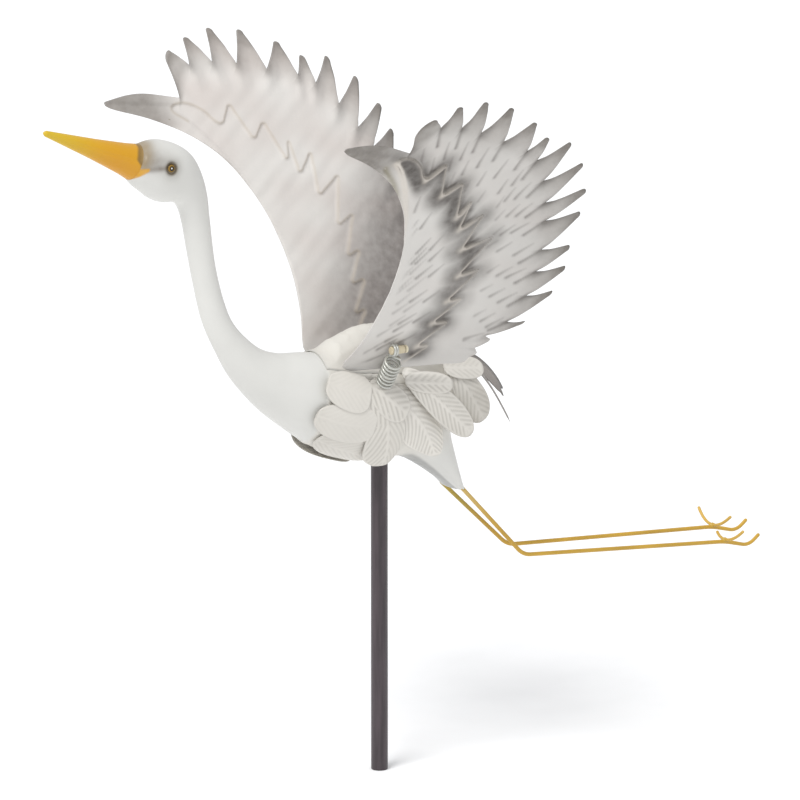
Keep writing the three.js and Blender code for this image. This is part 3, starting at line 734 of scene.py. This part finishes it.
def make_back_plate():
    t, across = np.meshgrid(np.linspace(0, 1, 130), np.sin(np.linspace(-1, 1, 72) * math.pi / 2), indexing="ij")
    x, ridge_z = np.moveaxis(catmull(BACK_PLATE[:, :2], t), -1, 0)
    half, drop = np.moveaxis(catmull(BACK_PLATE[:, 2:], t), -1, 0)
    y = across * (half + SHELL_SHEET)
    # Its front end and its sides hug the shell.
    under = shell_top(x, y)
    hug = np.maximum(ease(0.16 - t, 0, 0.16), ease(np.abs(across), 0.62, 1.0) * ease(1 - t, 0.1, 0.4))
    rim = np.maximum(ease(np.abs(across), 0.95, 1), ease(0.012 - t, 0, 0.012))
    domed = ridge_z + SHELL_SHEET - drop * across**2 + 0.55 * scallops(x / BACK_ROW, y / BACK_LANE)
    outer_z = domed * (1 - hug) + np.minimum(domed, under + BACK_GAP) * hug - 0.6 * rim
    outer = np.stack([x, y, outer_z], -1)
    inner = np.stack([x, across * half, outer_z - SHELL_SHEET + 0.4 * rim], -1)
    values = {"shadow": 0.6 * rim, "cream": np.ones(rim.size)}
    made = two_faced("back_plate_skin", outer, inner, values, True, {"cream": 1.0})
    dress(made, shell_paint, "bird", "shell", "back_plate")


make_back_plate()

# Wings, drawn in the side view. Their outline: horn, notch line with its spikes, foot and leading edge.
WING_TIP_TOP = [(-179, 633.4), (-175, 636.2), (-142, 638), (-103, 629)]
NOTCH_LINE = [
    (-103, 629), (-84, 653), (-59, 653), (-6, 639), (42, 619), (72, 576), (91, 528), (98, 479), (91, 451), (74, 434),
    (66, 412),
]
WING_FOOT = [(66, 412), (61, 406), (38, 404), (0, 401), (-48, 397.5), (-61, 401)]
LEADING_EDGE = [
    (-179, 632.6), (-175, 629.8), (-140, 616), (-105, 596), (-78, 570), (-63, 543), (-52, 510), (-48, 472), (-53, 434),
    (-62, 407),
]
# Of each spike: width, reach and direction in degrees.
SPIKES = [
    (33, 26, 106), (24, 24, 102), (25, 31, 94), (31, 32, 86), (33, 27, 76), (19, 21, 75), (28, 34, 62), (26, 39, 50),
    (21, 39, 37), (32, 36, 42), (24, 29, 32), (26, 32, 34), (29, 33, 33), (22, 25, 17), (14, 8, 16), (10, 4, -14),
]
# The near wing's first spike is a broad thumb: its reach and direction.
THUMB = (21, 119)
# Breadth and height of the spikes' round ends, the first one's by side
ROUND_TIP = 6.8
ROUND_CAP = 2.8
FIRST_TIP = {-1: 23.0, 1: 11.0}
FIRST_CAP = {-1: 9.0, 1: 3.0}
# The share of a spike's columns on each of its straight sides
SIDE_SHARE = 0.36
NOTCH_MARGIN = 4.0
WING_THICKNESS = 1.44
# How the wings hang: turned about the pivot by degrees about each axis, and shifted. The two differ in sign.
WING_PIVOT = np.array([-22.0, 55.0, 412.0])
WING_TURN = np.array([-3.1, 4.8, 1.3])
WING_SHIFT = np.array([-2.0, 0.0, -5.0])

# Covert row: each tooth's tip and the valley after it.
COVERT_TEETH = [
    ((-98, 620), (-70, 601)), ((-56, 618), (-43, 584)), ((-27, 598), (-15, 561)), ((-7, 579), (-6, 548)),
    ((13, 565), (7, 527)), ((35, 541), (17, 499)), ((38, 506), (17, 472)), ((33, 475), (12, 449)),
    ((29, 450), (6, 424)), ((20, 425), (0, 406)),
]
COVERT_END = (14, 400)
COVERT_RISE = 2.2
FIRST_TOOTH = [(-113.5, 623.0), (-105.5, 625.0), (-95.5, 622.6), (-84.0, 615.0)]
BEAD = [(-58, 515), (-66, 546), (-78, 573), (-92, 595), (-104, 609.5), (-115, 619)]
BELOW_BEAD = [(0, 392), (-80, 392), (-80, 470), (-70, 515)]
BEAD_GROOVE = [(-122, 613), (-101, 594), (-86, 573), (-74, 549)]
HORN_RIDGE = [(-174, 632.5), (-140, 627), (-112, 622)]
# Directions of the engraved strokes above each valley, and of each stroke its depth, length and shift.
STROKE_WAYS = (96, 78, 66, 60, 52, 45, 40, 36, 32)
STROKE_RUNS = ((36, 16, 1.0), (55, 18, -3.0), (73, 15, 2.0), (46, 17, -9.0), (66, 17, -8.5))

# Rows of points of the outer and of the inner face, up to the notch line and beyond it
OUTER_ROWS = (96, 11)
INNER_ROWS = (64, 7)
# The horn's share of the rim, and of the leading edge under it.
HORN_SHARE = 0.125
HORN_FOOT_SHARE = 0.25

notch_track = Track(NOTCH_LINE, True)
spike_runs = np.cumsum([0] + [width for width, _, _ in SPIKES])


def wing_lean(x, z):
    up, back = (z - 400) / 100, x / 100
    return 38 + 100 * (0.493 * up + 0.117 * back) - 4.3 * up * back + 3.5 * back**2 + 2.8 * up**2


def hang(points, side):
    """Hang points of the right wing as that side's wing hangs; the left wing is the mirrored one."""
    angle = math.radians(np.linalg.norm(WING_TURN))
    axis = -side * unit(WING_TURN)
    arm = points - WING_PIVOT
    spun = arm * math.cos(angle) + np.cross(axis, arm) * math.sin(angle)
    spun += axis * (arm @ axis)[..., None] * (1 - math.cos(angle))
    hung = spun + WING_PIVOT - side * WING_SHIFT
    hung[..., 1] *= side
    return hung


def heading_of(degrees):
    return np.array([math.cos(math.radians(degrees)), math.sin(math.radians(degrees))])


def aside_of(heading):
    return np.array([heading[1], -heading[0]])


def notch_at(number, share):
    """The notch line's point at a share of a spike's width."""
    return notch_track.at_fraction((spike_runs[number] + share * SPIKES[number][0]) / spike_runs[-1])


def wing_rim(side):
    """Columns of the wing: rim point, notch-line point, run along the rim, spike number and share of it."""
    columns = []

    def plain(track, shares, start, number):
        for share in shares:
            point = track.at_fraction(share)
            columns.append((*point, *point, start + share * track.length, number, 0.0))

    top = Track(WING_TIP_TOP)
    plain(top, np.linspace(0, 1, 46)[:-1], 0, -1)
    for number, (width, reach, degrees) in enumerate(SPIKES):
        if number == 0 and side < 0:
            reach, degrees = THUMB
        start, end = notch_at(number, 0), notch_at(number, 1)
        heading = heading_of(degrees)
        blunt = FIRST_TIP[side] if number == 0 else min(ROUND_TIP, width / 2.8)
        breadth = unit(end - start) * blunt / 2
        cap = FIRST_CAP[side] if number == 0 else min(ROUND_CAP, reach / 4)
        tip = (start + end) / 2 + heading * (reach - cap)
        hollow = 0.05 * reach * aside_of(heading)
        for share in np.linspace(0, 1, max(14, int(width * 1.1)))[:-1]:
            if share < SIDE_SHARE:
                u = share / SIDE_SHARE
                point = start + (tip - breadth - start) * u + hollow * math.sin(math.pi * u) * (1 - 0.6 * u)
            elif share <= 1 - SIDE_SHARE:
                u = (share - SIDE_SHARE) / (1 - 2 * SIDE_SHARE) * math.pi
                point = tip - breadth * math.cos(u) + heading * cap * math.sin(u)
            else:
                u = (share - 1 + SIDE_SHARE) / SIDE_SHARE
                point = tip + breadth + (end - tip - breadth) * u + hollow * 0.7 * math.sin(math.pi * u)
            base = start + (end - start) * share
            columns.append((*point, *base, top.length + spike_runs[number] + share * width, number, share))
    plain(Track(WING_FOOT), np.linspace(0, 1, 44), top.length + spike_runs[-1], len(SPIKES))
    columns = np.array(columns)
    return columns[:, :2], columns[:, 2:4], *columns[:, 4:].T


def line_distance(points, line):
    """Distance of each point from a polyline."""
    best = np.full(len(points), 1e9)
    for a, b in zip(line[:-1], line[1:]):
        way = b - a
        share = np.clip((points - a) @ way / max(way @ way, 1e-9), 0, 1)
        best = np.minimum(best, np.linalg.norm(points - a - share[:, None] * way, axis=1))
    return best


def inside_of(points, outline):
    """Whether each point lies inside a closed outline."""
    inside = np.zeros(len(points), bool)
    x, z = points.T
    for (ax, az), (bx, bz) in zip(outline, np.roll(outline, -1, axis=0)):
        crosses = (az > z) != (bz > z)
        with np.errstate(divide="ignore", invalid="ignore"):
            cut = (bx - ax) * (z - az) / (bz - az) + ax
        inside ^= crosses & (x < cut)
    return inside


def covert_line():
    """The covert row's edge: teeth with rounded tips and narrow rounded valleys."""
    line = [*np.array(BEAD[-2:])]
    tips = np.array([tip for tip, _ in COVERT_TEETH] + [COVERT_END], float)
    for number, (_, valley) in enumerate(COVERT_TEETH):
        tip = tips[number]
        rise, fall, climb = unit(tip - line[-1]), unit(valley - tip), unit(tips[number + 1] - valley)
        if number == 0:
            line += [*np.array(FIRST_TOOTH)]
        else:
            line += [tip - 9 * rise, tip - 3.2 * rise, tip + 3.2 * fall, tip + 9 * fall]
        line += [valley - 8 * fall, valley - 3.0 * fall, valley + 3.2 * climb, valley + 8 * climb]
    return catmull(np.array(line), np.linspace(0, 1, 520), True)


def strokes():
    """Engraved strokes of the outer face: inner end, outer end and strength of each."""
    draw = np.random.default_rng(8)
    marks = []

    def mark(root, way, deep, long, strength):
        marks.append((root - way * deep, root - way * (deep - long), strength))

    for number, (_, _, degrees) in enumerate(SPIKES[:14]):
        heading = heading_of(degrees + 3)
        cleft = heading_of((degrees + SPIKES[max(number - 1, 0)][2]) / 2 + 3)
        valley, middle = notch_at(number, 0), notch_at(number, 0.5)
        if number > 0:
            marks.append((valley - cleft * draw.uniform(17, 23), valley + heading * 3, 1.0))
            mark(valley, cleft, draw.uniform(41, 47), 14, 0.8)
        mark(middle, heading, draw.uniform(29, 34), draw.uniform(16, 21), 0.9)
        if 1 < number < 12:
            mark(middle, heading, draw.uniform(53, 58), 11, 0.6)
    for (_, valley), degrees in zip(COVERT_TEETH, STROKE_WAYS):
        way = heading_of(degrees)
        for deep, long, shift in STROKE_RUNS:
            root = valley + aside_of(way) * (shift + draw.uniform(-1, 1))
            deep += draw.uniform(-2, 2)
            mark(root, way, deep, long, 0.9 if deep < 55 else 0.55)
    return marks


def stroke_field(flat):
    """Grooves that are deepest at their inner end and run out thinly."""
    field = np.zeros(len(flat))
    for inner, outer, strength in strokes():
        way = outer - inner
        near = np.abs(flat - (inner + outer) / 2).max(axis=1) < 20
        local = flat[near]
        share = np.clip((local - inner) @ way / (way @ way), 0, 1)
        gap = np.linalg.norm(local - inner - share[:, None] * way, axis=1)
        groove = bump(gap, 1.75 - 0.6 * share) * (1 - 0.6 * share)
        field[near] = np.maximum(field[near], strength * groove)
    return field


def spike_fields(flat):
    """Soft folds of the feathers behind the notch line: ridges on the spikes and furrows from the valleys."""
    ridge, furrow = np.zeros(len(flat)), np.zeros(len(flat))
    for number, (width, reach, degrees) in enumerate(SPIKES):
        heading = heading_of(degrees)
        folds = ((0.5, ridge, 0.2, 30, reach), (0, furrow, 0.13, 26, 6))
        for share, field, narrow, deep, far in folds[: 2 if number else 1]:
            way = flat - notch_at(number, share)
            along = way @ heading
            fade = ease(along, -deep, -2) * ease(far + 3 - along, 0, 5)
            np.maximum(field, bump(way @ aside_of(heading), narrow * width + 0.6) * fade, out=field)
    return ridge, furrow


def wing_plan(rows, side):
    """Points of one face in the side view, with each point's reach beyond the notch line, spike and share of it."""
    rim, base, run, number, share = wing_rim(side)
    fraction = np.interp(run / run[-1], (0, HORN_SHARE, 1), (0, HORN_FOOT_SHARE, 1))
    edge = Track(LEADING_EDGE, True).at_fraction(fraction)
    length = np.linalg.norm(base - edge, axis=1)
    margin = np.minimum(NOTCH_MARGIN / np.maximum(length, 1e-6), 0.3)
    notch = base + (edge - base) * margin[:, None]
    inner, outer = rows
    # The rows lie closest in the middle, where the covert row's edge runs.
    even = np.linspace(0, 1, inner)
    stations = even + 0.055 * np.sin(2 * math.pi * even)
    plan = [edge + (notch - edge) * station for station in stations]
    beyond = [-(1 - station) * length for station in stations]
    for station in np.linspace(0, 1, outer + 1)[1:]:
        plan.append(notch + (rim - notch) * station)
        beyond.append(station * np.linalg.norm(rim - notch, axis=1))
    number, share = (np.repeat(column, inner + outer) for column in (number, share))
    return np.stack(plan, 1), np.stack(beyond, 1).ravel(), number.astype(int), share


# How strongly the spikes' folds and the soft streaks show on the outer and on the inner face
FOLDS = {True: (1.0, 0.12), False: (1.6, 0.3)}


def wing_face(side, outside):
    """One face of a wing: its hung points and its paint."""
    plan, beyond, number, share = wing_plan(OUTER_ROWS if outside else INNER_ROWS, side)
    flat = plan.reshape(-1, 2)
    x, z = flat.T
    solid = np.stack([x, 0 * x, z], -1)
    covert, bead_line = covert_line(), traced(BEAD, 60)
    within = inside_of(flat, np.vstack([bead_line, covert, BELOW_BEAD]))
    from_covert, from_bead = line_distance(flat, covert), line_distance(flat, bead_line)
    # Into the covert row from its whole edge, and from its teeth alone
    raised = np.where(within, 1, -1) * np.minimum(from_covert, from_bead)
    depth = np.where(within, from_covert, -from_covert)
    from_edge = line_distance(flat, traced(LEADING_EDGE, 120, True))
    ridge, furrow = spike_fields(flat)
    horn = bump(line_distance(flat, traced(HORN_RIDGE, 20)), 3.2)
    fade, high = ease(z, 400, 416), ease(z, 470, 560)
    # Soft streaks run out towards the spikes.
    streaky = np.stack([0.25 * (0.84 * x + 0.54 * z), 0.54 * x - 0.84 * z, 0 * x], -1)
    fold, streak = FOLDS[outside]
    relief = 0.55 * wobble(solid, 74, 21 + side) + fold * (1.4 * ridge - 1.1 * furrow) + 1.6 * horn
    relief += streak * wobble(streaky, 13, 33)

    spiked = (number >= 0) & (number < len(SPIKES))
    reach = np.array([reach for _, reach, _ in SPIKES] + [1.0, 1.0])[number]
    reach_share = np.where(spiked, np.clip(beyond / np.maximum(reach, 1), -1, 1.1), -1)
    long_spike = ease(reach, 2, 18) * spiked
    tips = 0.5 * (ease(reach_share, -0.45, 0.7) + ease(reach_share, 0.45, 1.0)) * long_spike
    thumb_wash = 0.6 * ease(beyond, -4, 10) * (number == 0)
    tips = np.clip(np.maximum(tips, thumb_wash) + 0.95 * ease(-x, 98, 142) * ease(z, 598, 610), 0, 1)
    # The edge mask: painted shade on each spike's upper side, which is turned from the light, and a dark paint line
    # along the spikes' rims.
    shadow_side = bump(share - 0.1, 0.22) * ease(beyond, -9, 6)
    rim_line = ease(beyond, -1, 4) * ease(np.abs(share - 0.5), 0.33, 0.5)
    edge = np.clip((0.9 * shadow_side + 0.75 * rim_line) * long_spike, 0, 1)
    blush = np.clip(0.3 + 0.35 * wobble(solid, 60, 9) + 0.35 * ease(z, 560, 640), 0, 1)
    if outside:
        # Dark clefts and pale knots lie at the valleys between the teeth.
        valleys = [valley for _, valley in COVERT_TEETH]
        clefts = np.max([spot(x - 4, z - 5, valley, 13) for valley in valleys], axis=0)
        knots = np.max([spot(x + 1.5, z + 1, valley, 3.2) for valley in valleys], axis=0)
        bead = bump(from_bead - 0.8, 2.0) * ease(z, 515, 570)
        groove = bump(line_distance(flat, traced(BEAD_GROOVE, 30)), 3.2) * high
        stroke = stroke_field(flat) * ease(from_edge, 5, 11) * ease(z, 402, 412) * (np.abs(depth) > 2.5)
        soft = 6.0 * (1 - clefts) * ease(600 - z, 0, 60)
        row = COVERT_RISE * ease(raised / (1 + soft), -0.8, 2.0) + 0.7 * knots + bump(depth - 1.0, 1.8)
        relief += (row - 0.7 * bump(depth + 2.4, 1.8) * clefts) * fade
        relief += 0.9 * bump(from_edge - 2.4, 2.0) * high + 1.5 * bead - 1.4 * groove - 0.6 * stroke
        # The widest tip stays inside its solid.
        relief -= 0.7 * spot(x, z, (-49, 681), 7)

        blotch = 0.2 * wobble(solid, 34, 5)
        band = ease(depth, -1.5, 1.5) * ease(27 - depth, 0, 23) * (0.94 + blotch + 0.12 * ease(z, 535, 600))
        beyond_edge = 0.62 * ease(depth, -20, -1) * (depth < 0) * (0.85 + blotch)
        shade = (band + 0.6 * bump(depth + 3.0, 4.0) * clefts + beyond_edge) * fade
        shade += 0.6 * spot(x + 0.3 * (z - 596), z, (-84, 596), 9, 17) * within
        shade += 0.4 * spot(x, z, (-101, 614), 11, 9) * within
        shade = np.clip(shade, 0, 1) * ease(z, 402, 446) * ease(from_edge, 7, 16)
        shade *= np.where(within, ease(from_bead, 0.5, 3), 1.0)
        light = bump(depth - 0.9, 1.8) * (1 - 0.11 * soft) * (0.5 + 0.5 * clefts)
        paint = {
            "tips": tips,
            "edge": edge,
            "shade": np.clip(shade + 0.95 * spot(x, z, (8, 416), 14.4, 8), 0, 1),
            "stroke": stroke,
            "light": np.clip(light + 0.9 * bead + 0.8 * knots, 0, 1) * fade,
            "olive": groove,
            # A faint painted shade towards the notch line and over the spikes.
            "painted_shade": 0.16 * ease(beyond, -80, -8),
            "blush": 0.25 * blush,
        }
    else:
        relief += (COVERT_RISE * ease(raised, -2.0, 3.0) - 0.3 * bump(depth, 1.6)) * fade
        paint = {
            "tips": 0.85 * tips,
            "edge": 0.6 * edge,
            "line": bump(depth, 1.4) * fade,
            # Painted shade: the inner face darkens towards its rear and its foot, where the other wing and the body
            # shade it.
            "painted_shade": ease(0.75 * x - 0.66 * (z - 400), -78, 12),
            "blush": 0.65 * blush,
            "pale": np.full(len(flat), 0.85),
        }
    points = np.stack([x, wing_lean(x, z) + relief + (0.5 if outside else -0.5) * WING_THICKNESS, z], -1)
    return hang(points, side).reshape(*plan.shape[:2], 3), paint


def zip_strip(first, first_count, second, second_count):
    """Triangles between two rows of points of different counts."""
    triangles, i, j = [], 0, 0
    while i < first_count - 1 or j < second_count - 1:
        if j == second_count - 1 or (i < first_count - 1 and (i + 1) / first_count <= (j + 1) / second_count):
            triangles.append([first + i, first + i + 1, second + j])
            i += 1
        else:
            triangles.append([first + i, second + j + 1, second + j])
            j += 1
    return triangles


def make_wing(label, side):
    outer, outer_paint = wing_face(side, True)
    inner, inner_paint = wing_face(side, False)
    columns, outer_rows, inner_rows = outer.shape[0], outer.shape[1], inner.shape[1]
    start = columns * outer_rows
    faces = [*grid_faces(columns, outer_rows).tolist(), *grid_faces(columns, inner_rows, start, True).tolist()]
    for i in range(columns - 1):
        a, b = i * outer_rows, (i + 1) * outer_rows
        c, d = start + i * inner_rows, start + (i + 1) * inner_rows
        faces.append([b, a, c, d])
        faces.append([a + outer_rows - 1, b + outer_rows - 1, d + inner_rows - 1, c + inner_rows - 1])
    for column, turned in ((0, False), (columns - 1, True)):
        strip = zip_strip(column * outer_rows, outer_rows, start + column * inner_rows, inner_rows)
        faces += [triangle[::-1] for triangle in strip] if turned else strip
    if side > 0:
        faces = [face[::-1] for face in faces]
    none, inner_none = np.zeros(start), np.zeros(columns * inner_rows)
    values = {
        key: np.append(outer_paint.get(key, none), inner_paint.get(key, inner_none))
        for key in {**outer_paint, **inner_paint}
    }
    made = piece(f"wing_{label}_sheet", (outer, inner), faces, values)
    dress(made, wing_paint, f"{label}_wing", "wing", f"wing_{label}")


# Wires
def sweep(name, path, radii, sides, values=None):
    """A round wire along a path of points, closed at both ends. Values are even, or one for each point."""
    path = np.asarray(path, float)
    heading = unit(np.gradient(path, axis=0))
    side_way = np.cross(heading[0], [0, 0, 1.0] if abs(heading[0][2]) < 0.9 else [1.0, 0, 0])
    rings = []
    turn = around(sides)[:, None]
    for point, way, radius in zip(path, heading, radii):
        side_way = unit(side_way - way * (side_way @ way))
        rings.append(point + radius * (np.cos(turn) * side_way + np.sin(turn) * np.cross(way, side_way)))
    along = {key: np.broadcast_to(numbers, len(path)) for key, numbers in (values or {}).items()}
    values = {key: [*np.repeat(numbers, sides), numbers[0], numbers[-1]] for key, numbers in along.items()}
    return piece(name, (*rings, path[0], path[-1]), tube_faces(len(path), sides, flip=True), values)


def rounded_ends(path, radius, both=True):
    """Radii along a wire whose end, or both ends, are rounded."""
    run = np.append(0, np.cumsum(np.linalg.norm(np.diff(path, axis=0), axis=1)))
    to_end = run[-1] - run
    near = np.minimum(np.minimum(run, to_end) if both else to_end, radius)
    return np.sqrt(np.clip(radius**2 - (radius - near) ** 2, 0.01, None))


# Reach of the close stations at the end of a bent wire
ROUND_END = 2.6


def bent_path(points, radius, steps=14):
    """Straight runs whose corners are rounded, with close stations at the far end for rounding it."""
    path, start = [], points[0]
    for before_point, corner, after_point in zip(points[:-2], points[1:-1], points[2:]):
        before = corner + unit(before_point - corner) * radius
        after = corner + unit(after_point - corner) * radius
        count = max(4, int(np.linalg.norm(before - start) / 5))
        path += [start + (before - start) * share for share in np.linspace(0, 1, count)[:-1]]
        for share in np.linspace(0, 1, steps)[:-1]:
            path.append(before * (1 - share) ** 2 + 2 * corner * share * (1 - share) + after * share**2)
        start = after
    last = np.linalg.norm(points[-1] - start)
    stops = np.append(
        np.linspace(0, last - ROUND_END, max(3, int(last / 4))),
        last - ROUND_END + ROUND_END * np.sin(np.linspace(0.25, 1, 8) * math.pi / 2),
    )
    path += [start + unit(points[-1] - start) * stop for stop in stops]
    return np.array(path)


# Leg wire: hip, knee, ankle, bend and tip of the middle toe in the side view, and how far out each lies.
LEG_LINE = ((84, 264), (158, 194), (404, 179), (434, 171), (447, 181))
LEG_SPREAD = (17, 13, 10, 10, 10)
LEG_DROP = {-1: (0, 5, 11, 11, 11), 1: (0, 0, 0, 0, 0)}
LEG_WIRE = 4.0
KNEE_RADIUS = 9.0
# Strength of the pale and the olive paint on the upper leg, by side
LEG_PALE = {-1: 0.9, 1: 0.2}
LEG_OLIVE = {-1: 0.1, 1: 0.9}
# Cross toes: wire, how far they reach out and in, how far their tips rise and lie behind.
TOE_WIRE = 3.0
TOE_REACH = 26.0
INNER_TOE_REACH = {-1: 16.0, 1: 26.0}
TOE_RISE = 13.0
TOE_LEAD = 3.0
WELD_RADIUS = 2.75
WELD_REACH = 3.75


def make_leg(label, side):
    points = [
        np.array((x, side * out, z - drop), float)
        for (x, z), out, drop in zip(LEG_LINE, LEG_SPREAD, LEG_DROP[side])
    ]
    hip, knee, ankle = points[:3]
    path = bent_path([hip - unit(knee - hip), *points[1:]], KNEE_RADIUS)
    run = np.linalg.norm(path - hip, axis=1)
    radii = rounded_ends(path, LEG_WIRE / 2, both=False) * (1 - 0.12 * ease(path[:, 0], 404, 440))
    values = {"pale": ease(60 - run, 0, 60) * LEG_PALE[side], "olive": ease(70 - run, 0, 50) * LEG_OLIVE[side]}
    dress(sweep(f"leg_{label}_wire", path, radii, 20, values), leg_paint, "bird", "leg", f"leg_{label}")

    inner_reach = INNER_TOE_REACH[side]
    middle = ankle + (0, 0, LEG_WIRE / 2)
    reach = np.concatenate([np.linspace(-inner_reach, 0, 40), np.linspace(0, TOE_REACH, 60)[1:]])
    lead = TOE_LEAD * (reach / np.where(reach > 0, TOE_REACH, inner_reach)) ** 2
    cross = middle + np.stack([lead, side * reach, TOE_RISE * (reach / TOE_REACH) ** 2], -1)
    toes = sweep(f"toes_{label}_wire", cross, rounded_ends(cross, TOE_WIRE / 2), 16, {"pale": 0.3, "olive": 0.0})
    dress(toes, leg_paint, "bird", "leg", f"toes_{label}")

    # Weld bead where the cross wire sits on the leg wire
    share = np.linspace(-0.96, 0.96, 22)
    along = WELD_REACH * share
    swell = WELD_RADIUS * np.sqrt(1 - share**2) * (1 + 0.05 * np.sin(along * 3))
    path = middle + np.stack([along, 0 * along, -0.7 - 0.1 * along], -1)
    dress(sweep(f"weld_{label}", path, swell, 24, {"pale": 0.2, "olive": 0.3}), leg_paint, "bird", "leg")


SPRING_TURNS = 7
SPRING_WIRE = 2.4
SPRING_RADIUS = 7.4
SPRING_FOOT = np.array([-20.0, 35.0, 380.0])
SPRING_HEAD = np.array([-22.0, 58.0, 412.0])
# The foot's share of the wing's shift, and the share of the spring that is sunk in the shell.
SPRING_FOOT_SHARE = 0.4
SPRING_SEAT = 0.16
LOOP_TURNS = 1.6
LOOP_PITCH = 2.5
LOOP_RADIUS = 4.9
LOOP_INSET = 1.6
STUD_CENTRE = np.array([-17.0, 57.0, 422.0])
STUD_RADIUS = 3.8
STUD_LENGTH = 18.0
STUD_EDGE = 0.8


def make_spring(label, side):
    foot = SPRING_FOOT - side * SPRING_FOOT_SHARE * WING_SHIFT
    foot[1] *= side
    head, centre = hang(SPRING_HEAD, side), hang(STUD_CENTRE, side)
    rise = head - foot
    sideways = unit(np.cross([1.0, 0, 0], rise))
    forward = unit(np.cross(rise, sideways))
    share = np.linspace(SPRING_SEAT, 1, SPRING_TURNS * 44)[:, None]
    turn = 2 * math.pi * SPRING_TURNS * (share - SPRING_SEAT) / (1 - SPRING_SEAT)
    coil = foot + rise * share + SPRING_RADIUS * (np.cos(turn) * forward + np.sin(turn) * sideways)
    # The wire ends in loops round the front end of the stud.
    swing = np.linspace(-0.6, 2 * math.pi * LOOP_TURNS, 110)
    loop = centre + np.stack([
        LOOP_PITCH * swing / (2 * math.pi) - STUD_LENGTH / 2 + LOOP_INSET,
        side * LOOP_RADIUS * np.sin(swing),
        -LOOP_RADIUS * np.cos(swing),
    ], -1)
    knots = [coil[-8], coil[-1], (coil[-1] + loop[0]) / 2 + (-1.5, 0, 0), loop[0], loop[8]]
    lead = catmull(np.array(knots), np.linspace(0.26, 0.74, 24), True)
    path = np.vstack([coil, lead[1:-1], loop])
    gap = np.linalg.norm(np.diff(path, axis=0), axis=1)
    path = path[np.append(True, gap > 0.2)]
    values = {"pale": 0.5 + 0.5 * np.sin(np.arange(len(path)) * 0.037) ** 2}
    made = sweep(f"spring_{label}_coil", path, rounded_ends(path, SPRING_WIRE / 2), 12, values)
    made.data.materials.append(spring_metal)
    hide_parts(f"spring_{label}")
    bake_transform(made)

    half = STUD_LENGTH / 2
    ends = np.linspace(0, STUD_EDGE, 5)
    along = np.concatenate([
        ends - half, np.linspace(STUD_EDGE - half, half - STUD_EDGE, 40)[1:-1], half - ends[::-1],
    ])
    edge = np.minimum(half - np.abs(along), STUD_EDGE)
    radii = STUD_RADIUS - STUD_EDGE + np.sqrt(np.clip(STUD_EDGE**2 - (STUD_EDGE - edge) ** 2, 0, None))
    radii -= 0.35 * bump(along - half + 3.4, 0.5) + 0.25 * bump(along + half - 4, 0.5)
    # A painted highlight on the stud's rear end, and painted shade in its groove.
    values = {"edge": ease(along, half - 3, half - 1.5), "groove": bump(along - half + 3.4, 0.6)}
    stud = sweep(f"stud_{label}_pin", centre + along[:, None] * (1.0, 0, 0), radii, 40, values)
    dress(stud, stud_paint, f"{label}_wing", "stud", f"stud_{label}")


POLE_RADIUS = 8.0
POLE_TOP = 335.0


def make_pole():
    height = np.concatenate([[0, 0.4, 0.8], np.linspace(1.5, POLE_TOP - 2, 60), [POLE_TOP - 0.6, POLE_TOP]])
    radius = np.full(len(height), POLE_RADIUS)
    # Its cut edges are worn.
    radius[[0, -1]] -= 0.5
    radius[[1, -2]] -= 0.1
    path = np.stack([0 * height, 0 * height, height], -1)
    dress(sweep("stake_tube", path, radius, 64), pole_paint, "bird", "stake", "pole")


make_pole()
for label, side in (("left", -1), ("right", 1)):
    make_eye(label, side)
    make_wing(label, side)
    make_spring(label, side)
    make_leg(label, side)
    for kind in FLANK:
        make_flank(kind, label, side)
    for kind in FAN:
        make_fan(kind, label, side)
for node in TAIL:
    make_tail(node)

# Floor
FLOOR_SIZE = 30.0
floor_mesh = bpy.data.meshes.new("floor")
steps = np.linspace(-FLOOR_SIZE / 2, FLOOR_SIZE / 2, 21)
floor_mesh.from_pydata([(x, y, 0.0) for x in steps for y in steps], [], grid_faces(21, 21).tolist())
floor = add("floor", floor_mesh)
floor.data.materials.append(painted("floor paint", (250, 250, 250), roughness=0.9, mottle=0.01, grain=0.0, dents=0.0))
